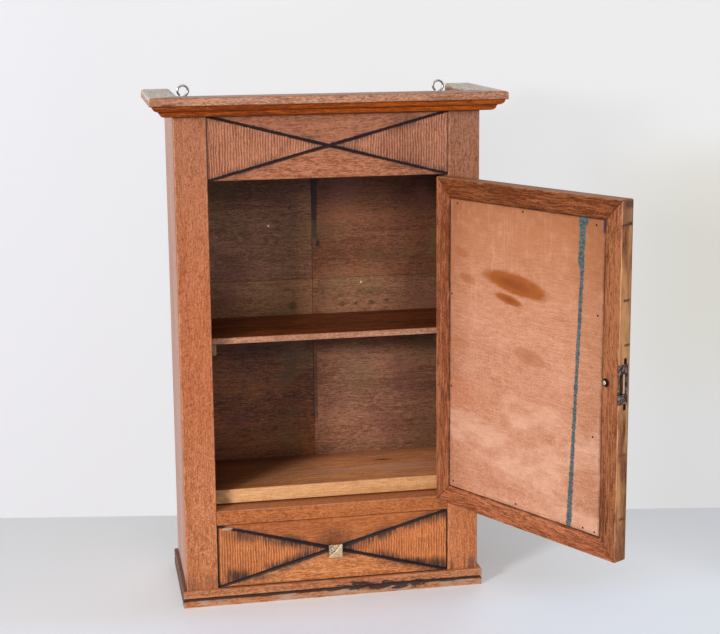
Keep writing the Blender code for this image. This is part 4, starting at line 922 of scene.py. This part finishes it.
SILVER, HAZY, FOXED = (0.86, 0.88, 0.88), (0.80, 0.83, 0.82), (0.16, 0.12, 0.09)
FOXED_EDGE = (0.030, 0.009)
made, at = start("foxed_silvering", shut=True)
low, high = reach("mirror_glass", shut=True)
x, y, z = axes(at)
near = calc("MINIMUM", calc("SUBTRACT", high[0], calc("ABSOLUTE", x)),
            calc("MINIMUM", calc("SUBTRACT", z, low[2]), calc("SUBTRACT", high[2], z)))
foxing = times(patches(at, 330.0, 0.55, 0.68, 4.0, 0.7), ease(near, *FOXED_EDGE))
haze = cloud(at, 25.0)
join(made.node_tree.nodes["Principled BSDF"], {
    "Base Color": tint(foxing, tint(haze, SILVER, HAZY), FOXED), "Metallic": 1.0,
    "Roughness": scaled(foxing, 0.35, times(haze, 0.06))})
dress("mirror_glass", made)


# Door backing: thin red plywood bradded into the rebate. Thinly varnished, paler and pinker towards
# the foot, partly its own colour and partly painted light, with a band of painted shade and grime along the
# frame, oil stains and a wax-crayon stripe down its free side.

PLY = ((0.68, 0.330, 0.208), (0.42, 0.155, 0.070), (0.28, 0.088, 0.036))
PLY_TOP, WIPED_DARK, WIPED_PALE = (0.41, 0.146, 0.054), (0.44, 0.155, 0.070), (0.76, 0.40, 0.26)
THREAD, BLUSH = (0.80, 0.45, 0.31), (0.52, 0.165, 0.080)
BLOOM, SPARK = (0.82, 0.47, 0.33), (0.92, 0.60, 0.47)
GRIME_AND_SHADE, CORNER_INK = (0.13, 0.042, 0.016), (0.02, 0.03, 0.07)
PLY_FADES = ((0, (0.072, 0.122), (0.80, 0.74, 0.66)), (0, (-0.055, -0.120), (0.80, 0.76, 0.68)),
             (2, (0.462, 0.498), (0.86, 0.83, 0.78)))
STAINS = ((0.0115, 0.4080, 0.0560, 0.0130, 0.14, 1.0), (0.0230, 0.3892, 0.0235, 0.0060, 0.16, 0.95),
          (0.0905, 0.4045, 0.0160, 0.0060, 0.20, 0.45), (-0.0105, 0.3275, 0.0270, 0.0100, 0.15, 0.42),
          (0.1000, 0.4350, 0.0150, 0.0060, 0.10, 0.32))
OIL, OLD_OIL = (0.33, 0.082, 0.010), (0.24, 0.050, 0.005)
CRAYON, CRAYON_DARK = (0.062, 0.140, 0.150), (0.016, 0.042, 0.050)
STRIPE_FOOT, STRIPE_TOP, STRIPE_HALF = (0.1414, -0.0747), (0.4972, -0.0909), 0.0026
STRIPE_FLAG, STRIPE_KINK = (0.484, 0.491), (0.436, 0.448)
STRIPE_WIDER, FOOT_WIDER = (0.440, 0.445), (0.24, 0.16)
TOP_DARKER, RED_SIDE, BLOOM_FADE, SPARK_FADE = (0.33, 0.50), (0.02, 0.12), (0.36, 0.22), (0.40, 0.24)
INKED_SIDE, INKED_TOP = (-0.1168, -0.1176), (0.481, 0.484)
made, at = start("backing_plywood", shut=True)
colour, matt, height = grained(at, PLY, "x", 46.0, lines=0.20, figure=0.4, flecks=0.25, pores=0.15,
                               run=420.0, mottle=1.1)
x, y, z = axes(at)
# Darker towards the top: partly the ply's own colour, partly painted shade.
colour = stain(colour, PLY_TOP, ease(z, *TOP_DARKER), 0.78)
wiped = cloud(at, (75.0, 75.0, 95.0), 3.0, 0.6)
colour = stain(colour, WIPED_DARK, ease(wiped, 0.52, 0.30), 0.30)
colour = stain(colour, WIPED_PALE, ease(wiped, 0.48, 0.74), 0.20)
for axis, fade, tone in PLY_FADES:
    colour = toned(colour, ease((x, y, z)[axis], *fade), tone)
threads = times(patches(at, (300.0, 60.0, 30.0), 0.42, 0.70, 3.0, 0.6),
                patches(at, (24.0, 24.0, 16.0), 0.45, 0.65, 2.0))
colour = stain(colour, THREAD, threads, 0.16)
blush = times(patches(at, (11.0, 11.0, 22.0), 0.50, 0.70), ease(x, *RED_SIDE))
colour = stain(colour, BLUSH, blush, 0.45)
# Pale blooms towards the foot: partly the ply's own colour, partly painted light.
bloom = times(patches(at, (13.0, 13.0, 26.0), 0.46, 0.66, 3.0, 0.6), ease(z, *BLOOM_FADE))
colour = stain(colour, BLOOM, bloom, 0.45)
sparks = times(patches(at, 520.0, 0.60, 0.70, 2.0), ease(z, *SPARK_FADE))
colour = stain(colour, SPARK, sparks, 0.28)
# Painted shade, with grime, along the frame's opening.
grime_and_shade = times(ease(beyond_opening(x, z), -0.0042, -0.0003), patches(at, 45.0, 0.30, 0.66, 4.0, 0.6))
colour = stain(colour, GRIME_AND_SHADE, grime_and_shade, scaled(ease(x, 0.10, -0.10), 0.30, 0.45))
wobble = cloud(at, (70.0, 70.0, 160.0), 3.0, 0.6)
for spot_x, spot_z, half_long, half_wide, tilt, strength in STAINS:
    flat = vector("SUBTRACT", at, (spot_x, 0.0, spot_z))
    flat = put("Mapping", {"Vector": flat, "Rotation": (0.0, tilt, 0.0)})
    flat = vector("MULTIPLY", flat, (1.0 / half_long, 0.0, 1.0 / half_wide))
    length = put("VectorMath", {0: flat}, 1, operation="LENGTH")
    soaked = times(ease(scaled(wobble, 0.45, length), 1.32, 0.92), scaled(wiped, 0.5, 0.72))
    colour = stain(colour, tint(ease(length, 0.7, 0.1), OIL, OLD_OIL), soaked, strength)
flag = ease(z, *STRIPE_FLAG)
middle = put("MapRange", {"Value": z, "From Min": STRIPE_FOOT[0], "From Max": STRIPE_TOP[0],
                          "To Min": STRIPE_FOOT[1], "To Max": STRIPE_TOP[1]})
middle = scaled(ease(z, *STRIPE_KINK), 0.0022, middle)
middle = scaled(flag, -0.0006, middle)
half = scaled(ease(z, *STRIPE_WIDER), 0.0017, STRIPE_HALF)
half = scaled(flag, 0.0020, half)
half = scaled(ease(z, *FOOT_WIDER), 0.0011, half)
gap = swayed(apart(x, middle), cloud(at, (80.0, 80.0, 480.0), 4.0, 0.75), 0.0070)
grit = cloud(at, (260.0, 260.0, 420.0), 3.0, 0.7)
waxy = times(ease(calc("SUBTRACT", gap, half), 0.0005, -0.0005), ease(grit, 0.10, 0.36))
colour = stain(colour, tint(ease(grit, 0.62, 0.38), CRAYON, CRAYON_DARK), waxy, 0.92)
corner = times(ease(x, *INKED_SIDE), ease(z, *INKED_TOP))
colour = stain(colour, CORNER_INK, corner, 0.9)
dress("door_backing_panel", end(made, colour, matt, height, 0.56, 0.0002))


# Brads: small round-headed nails driven through the plywood's edge into the rebate.
# Iron, blackened and rusted with age.

BRAD_RADIUS, BRAD_CROWN, BRAD_TURNS, PANEL_FACE = 0.0012, 0.0006, 12, -0.0568
brad_profile = [(1e-5, BRAD_CROWN), (0.5 * BRAD_RADIUS, 0.85 * BRAD_CROWN),
                (0.87 * BRAD_RADIUS, 0.5 * BRAD_CROWN), (BRAD_RADIUS, 0.0), (BRAD_RADIUS, -0.0003)]
brad_x = np.array([0.1076, 0.0015, -0.1074, -0.1117, 0.1165, 0.1170, 0.1135, -0.1079, -0.0962, -0.1130,
                   0.0080])
brad_z = np.array([0.4920, 0.4930, 0.4900, 0.3917, 0.3826, 0.2689, 0.1500, 0.2551, 0.1476, 0.1470, 0.1480])
spots = np.stack([brad_x, np.full(len(brad_x), PANEL_FACE), brad_z], -1)
brads = set_about(turned(brad_profile, BRAD_TURNS), spots, *OUT_BACK)
brads = (brads - HINGE_LINE) @ SHUT_ROWS + HINGE_LINE
RUST = metal("rusty_brads", (0.075, 0.030, 0.020), (0.035, 0.012, 0.008), 0.55, spots=0.8)
piece("backing_brads", [sheet_mesh(grid, True) for grid in brads], "door", RUST)


# Latch: an iron edge plate with two slotted screws, a turning spindle and cam, and a brass bolt.
# The knob is a square cushion of plated brass, worn through on its points.

PLATE_IRON = metal("latch_iron", (0.33, 0.28, 0.27), (0.085, 0.048, 0.038), 0.36, spots=0.8, scale=260.0)
SCREW_STEEL = metal("latch_screw_steel", (0.36, 0.34, 0.36), (0.10, 0.052, 0.045), 0.26, spots=0.8,
                    scale=420.0)
# The spindle's rim is painted black: dirt and the shade of its hole.
SPINDLE_METAL = metal("spindle_metal", (0.56, 0.46, 0.37), (0.20, 0.13, 0.10), 0.30, spots=0.4, scale=300.0,
                      rim=(SPINDLE_X, LATCH_Z, 0.0024))
BOLT_BRASS = metal("bolt_brass", (0.90, 0.62, 0.41), (0.60, 0.37, 0.21), 0.42, spots=0.3, scale=200.0)
BRASS = metal("worn_brass", (0.62, 0.47, 0.28), (0.27, 0.18, 0.10), 0.34, scale=130.0)
for node, made in (("latch_plate", PLATE_IRON), ("latch_cam", PLATE_IRON),
                   ("latch_screw_lower", SCREW_STEEL), ("latch_screw_upper", SCREW_STEEL),
                   ("latch_spindle", SPINDLE_METAL), ("latch_bolt", BOLT_BRASS), ("door_knob", BRASS)):
    dress(node, made)


# Drawer: an oak front with the same inked cross, plain oak sides and back, and a plywood bottom
# that slides in grooves. Warm varnish on the front only; a brass knob with its upper left half darker.

SMUDGES = ((-0.106, 0.084, 0.026, 0.010, 0.6), (-0.060, 0.074, 0.030, 0.008, 0.45),
           (-0.123, 0.035, 0.018, 0.012, 0.85), (-0.098, 0.031, 0.026, 0.007, 0.6),
           (0.129, 0.031, 0.017, 0.011, 0.85), (0.092, 0.036, 0.034, 0.006, 0.5),
           (0.0, 0.076, 0.024, 0.012, 0.5), (0.030, 0.062, 0.022, 0.011, 0.4),
           (-0.030, 0.060, 0.022, 0.011, 0.4), (0.118, 0.089, 0.022, 0.006, 0.45))
DRAWER_OAK = ((0.76, 0.285, 0.108), (0.40, 0.115, 0.034), (0.13, 0.036, 0.012))
DRAWER_TONES = ((0.96, 0.90, 0.77), (1.03, 0.94, 0.75), (1.04, 1.22, 1.40))
DRAWER_HALF, DRAWER_LINE, DRAWER_HAIR, DRAWER_SHARES = (0.1433, 0.0392), 0.0048, 0.020, (0.6, 0.75, 0.45)
DRAWER_FACE, CHIP_AT, CHIP_WOOD = -0.074, (-0.1315, -0.074, 0.0955), (0.62, 0.40, 0.28)
made, at, colour, matt, height = crossed("drawer_front_oak", "drawer_front", DRAWER_OAK, DRAWER_HALF,
                                         50.0, DRAWER_LINE, DRAWER_HAIR, DRAWER_SHARES, DRAWER_TONES)
streaky = cloud(at, (330.0, 60.0, 40.0), 3.0, 0.6)
for spot_x, spot_z, half_wide, half_tall, share in SMUDGES:
    spot = distance(at, (spot_x, DRAWER_FACE, spot_z), (1.0 / half_wide, 20.0, 1.0 / half_tall))
    colour = stain(colour, INK_AND_SHADE_BLACK, ease(scaled(streaky, -1.3, spot), 0.55, -0.45), share)
chip = scaled(cloud(at, 300.0), -0.003, distance(at, CHIP_AT, (0.40, 0.4, 1.7)))
colour = stain(colour, CHIP_WOOD, ease(chip, 0.0022, 0.0008), 0.8)
dress("drawer_front", end(made, colour, matt, height, 0.48))
BOX_GRAIN = {"drawer_side_left": "y", "drawer_side_right": "y", "drawer_back": "x"}
for count, (node, grain) in enumerate(BOX_GRAIN.items()):
    board(f"{node}_oak", node, BARE_OAK, grain, 52.0 + count, 0.62)
board("drawer_bottom_ply", "drawer_bottom", PLY, "x", 55.0, 0.62, share=0.0, lines=0.35)
KNOB_Z, KNOB_DARK_HALF = 0.0605, (0.115, 0.080, 0.075)
made = metal("drawer_knob_brass", (0.82, 0.62, 0.38), (0.54, 0.37, 0.21), 0.36, spots=0.3, scale=130.0)
shader = made.node_tree.nodes["Principled BSDF"]
at = put("TexCoord", {}, "Object", made.node_tree)
x, y, z = axes(at)
upper_left = ease(calc("SUBTRACT", calc("SUBTRACT", z, KNOB_Z), x), 0.0008, 0.0022)
bright = shader.inputs["Base Color"].links[0].from_socket
join(shader, {"Base Color": stain(bright, KNOB_DARK_HALF, upper_left, patches(at, 900.0, 0.40, 0.54, 2.0))})
dress("drawer_knob", made)
dress("drawer_knob_screw", STEEL)


# Table, wall, light and camera: a pale table against a plain wall, window light from the left
# front, a little higher than the cabinet, and an even fill. The table and wall glow with painted light of
# their own, with a painted shadow on the wall's right.

def plain(name, colour, glow, seen_from_behind=True):
    """A pale painted surface with a very faint mottle and its own soft light, which glow gives from the
    point's X, Y and Z; a wall is see-through from behind."""
    made, at = start(name)
    shader = made.node_tree.nodes["Principled BSDF"]
    mottled = tint(cloud(at, 3.0), colour, tuple(c * 0.97 for c in colour))
    join(shader, {"Base Color": mottled, "Roughness": 0.55, "Emission Color": glow(*axes(at)),
                  "Emission Strength": 1.0})
    if not seen_from_behind:
        behind = put("NewGeometry", {}, "Backfacing", made.node_tree)
        clear = put("BsdfTransparent", {}, tree=made.node_tree)
        mixed = put("MixShader", {0: behind, 1: shader.outputs[0], 2: clear})
        join(made.node_tree.nodes["Material Output"], {"Surface": mixed})
    return made


TABLE_BACK, TABLE_FRONT, TABLE_RIGHT = (0.148, 0.146, 0.135), (0.195, 0.228, 0.275), (0.230, 0.255, 0.275)
WALL_COOL, WALL_MIDDLE = (0.608, 0.602, 0.630), (0.678, 0.674, 0.682)
WALL_FOOT, WALL_WARM_SHADOW, WALL_TOP = (0.597, 0.597, 0.592), (0.579, 0.567, 0.513), (0.675, 0.677, 0.672)


def table_glow(x, y, z):
    """Brighter and cooler towards the front and the right."""
    light = tint(ease(y, -0.06, -0.17), TABLE_BACK, TABLE_FRONT)
    return stain(light, TABLE_RIGHT, ease(x, 0.20, 0.50), 0.6)


def wall_glow(x, y, z):
    """Cool on the left; on the right a painted shadow, dull and warm, under a bright top."""
    right = tint(ease(z, 0.10, 0.30), WALL_FOOT, WALL_WARM_SHADOW)
    right = tint(ease(z, 0.47, 0.56), right, WALL_TOP)
    light = tint(ease(x, -0.32, 0.05), WALL_COOL, WALL_MIDDLE)
    return tint(ease(x, 0.34, 0.56), light, right)


def flat_sheet(name, corners, made):
    """A four-cornered sheet: the corners' plain average over two shares."""
    u, v = np.meshgrid(np.linspace(0.0, 1.0, 9), np.linspace(0.0, 1.0, 9), indexing="ij")
    a, b, c, d = (np.array(corner) for corner in corners)
    u, v = u[..., None], v[..., None]
    points, faces = sheet_mesh((1 - u) * ((1 - v) * a + v * d) + u * ((1 - v) * b + v * c))
    obj = placed(name, points, faces, made)
    return obj


TABLE_COLOUR, TABLE_HALF = (0.83, 0.85, 0.905), 6.0
WALL_COLOUR, WALL_HEIGHT, WALL_LENGTHS = (0.16, 0.158, 0.16), (0.0, 0.0, 5.0), 4.0
WALL_LEFT, WALL_RIGHT = np.array((-0.425, 0.304, 0.0)), np.array((0.599, 0.125, 0.0))
table_corners = [(x * TABLE_HALF, y * TABLE_HALF, 0.0) for x, y in ((-1, -1), (-1, 1), (1, 1), (1, -1))]
flat_sheet("table", table_corners, plain("table_top", TABLE_COLOUR, table_glow))
run = (WALL_RIGHT - WALL_LEFT) * WALL_LENGTHS
left, right = (WALL_LEFT + WALL_RIGHT) / 2 - run, (WALL_LEFT + WALL_RIGHT) / 2 + run
wall = flat_sheet("wall", (left, left + WALL_HEIGHT, right + WALL_HEIGHT, right),
                  plain("wall_paint", WALL_COLOUR, wall_glow, False))
for ray in ("shadow", "diffuse", "glossy", "transmission"):
    setattr(wall, f"visible_{ray}", False)

FILL_STRENGTH, SHOWN_COLOUR = 0.21, (0.85, 0.845, 0.86, 1.0)
world = bpy.data.worlds.new("studio")
bpy.context.scene.world = world
world.use_nodes = True
tree = world.node_tree
tree.nodes.clear()
rays = put("LightPath", {}, tree=tree).node.outputs
seen = calc("MAXIMUM", rays["Is Glossy Ray"], rays["Is Transmission Ray"])
seen = calc("MAXIMUM", rays["Is Camera Ray"], seen)
fill = put("Background", {"Color": (1.0, 0.99, 1.0, 1.0), "Strength": FILL_STRENGTH}, tree=tree)
shown = put("Background", {"Color": SHOWN_COLOUR, "Strength": 1.0}, tree=tree)
join(tree.nodes.new("ShaderNodeOutputWorld"), {"Surface": put("MixShader", {0: seen, 1: fill, 2: shown})})


def window(name, place, aim, power, width, height, colour):
    """A soft rectangular light that faces a point."""
    lamp = bpy.data.lights.new(name, "AREA")
    lamp.shape = "RECTANGLE"
    lamp.size, lamp.size_y, lamp.energy, lamp.color = width, height, power, colour
    obj = bpy.data.objects.new(name, lamp)
    obj.location = place
    toward = np.array(aim) - np.array(place)
    obj.rotation_euler = (math.acos(-toward[2] / np.linalg.norm(toward)), 0.0,
                          math.atan2(toward[1], toward[0]) - math.pi / 2)
    bpy.context.scene.collection.objects.link(obj)


window("window_light", (-1.88, -1.73, 0.97), aim=(0.05, -0.05, 0.30), power=45.5, width=0.52, height=0.42,
       colour=(1.0, 0.985, 0.96))
window("front_fill", (-0.4, -2.6, 2.1), aim=(0.0, -0.2, 0.2), power=19.0, width=2.0, height=1.4,
       colour=(1.0, 0.99, 0.985))
window("back_fill", (1.6, 2.4, 1.9), aim=(0.0, 0.0, 0.3), power=9.0, width=1.6, height=1.6,
       colour=(1.0, 1.0, 1.0))

CAMERA_AT = (-0.305035, -1.837931, 0.739185)
YAW, PITCH, ROLL = -0.190591, -0.184445, 0.008688
FOCAL_PIXELS, MIDDLE_Y = 1522.909, 274.0
PICTURE_WIDTH, PICTURE_HEIGHT, SENSOR = 720.0, 634.0, 36.0
camera = bpy.data.cameras.new("camera")
camera.sensor_width = SENSOR
camera.lens = SENSOR * FOCAL_PIXELS / PICTURE_WIDTH
camera.shift_y = (MIDDLE_Y - PICTURE_HEIGHT / 2) / PICTURE_WIDTH
viewer = bpy.data.objects.new("camera", camera)
viewer.location = CAMERA_AT
viewer.rotation_mode = "QUATERNION"
turns = ((0.0, 0.0, YAW), (PITCH + math.pi / 2, 0.0, 0.0), (0.0, 0.0, -ROLL))
yaw, pitch, roll = (Euler(turn).to_quaternion() for turn in turns)
viewer.rotation_quaternion = yaw @ pitch @ roll
bpy.context.scene.collection.objects.link(viewer)
bpy.context.scene.camera = viewer
bpy.context.scene.view_settings.view_transform = "Standard"
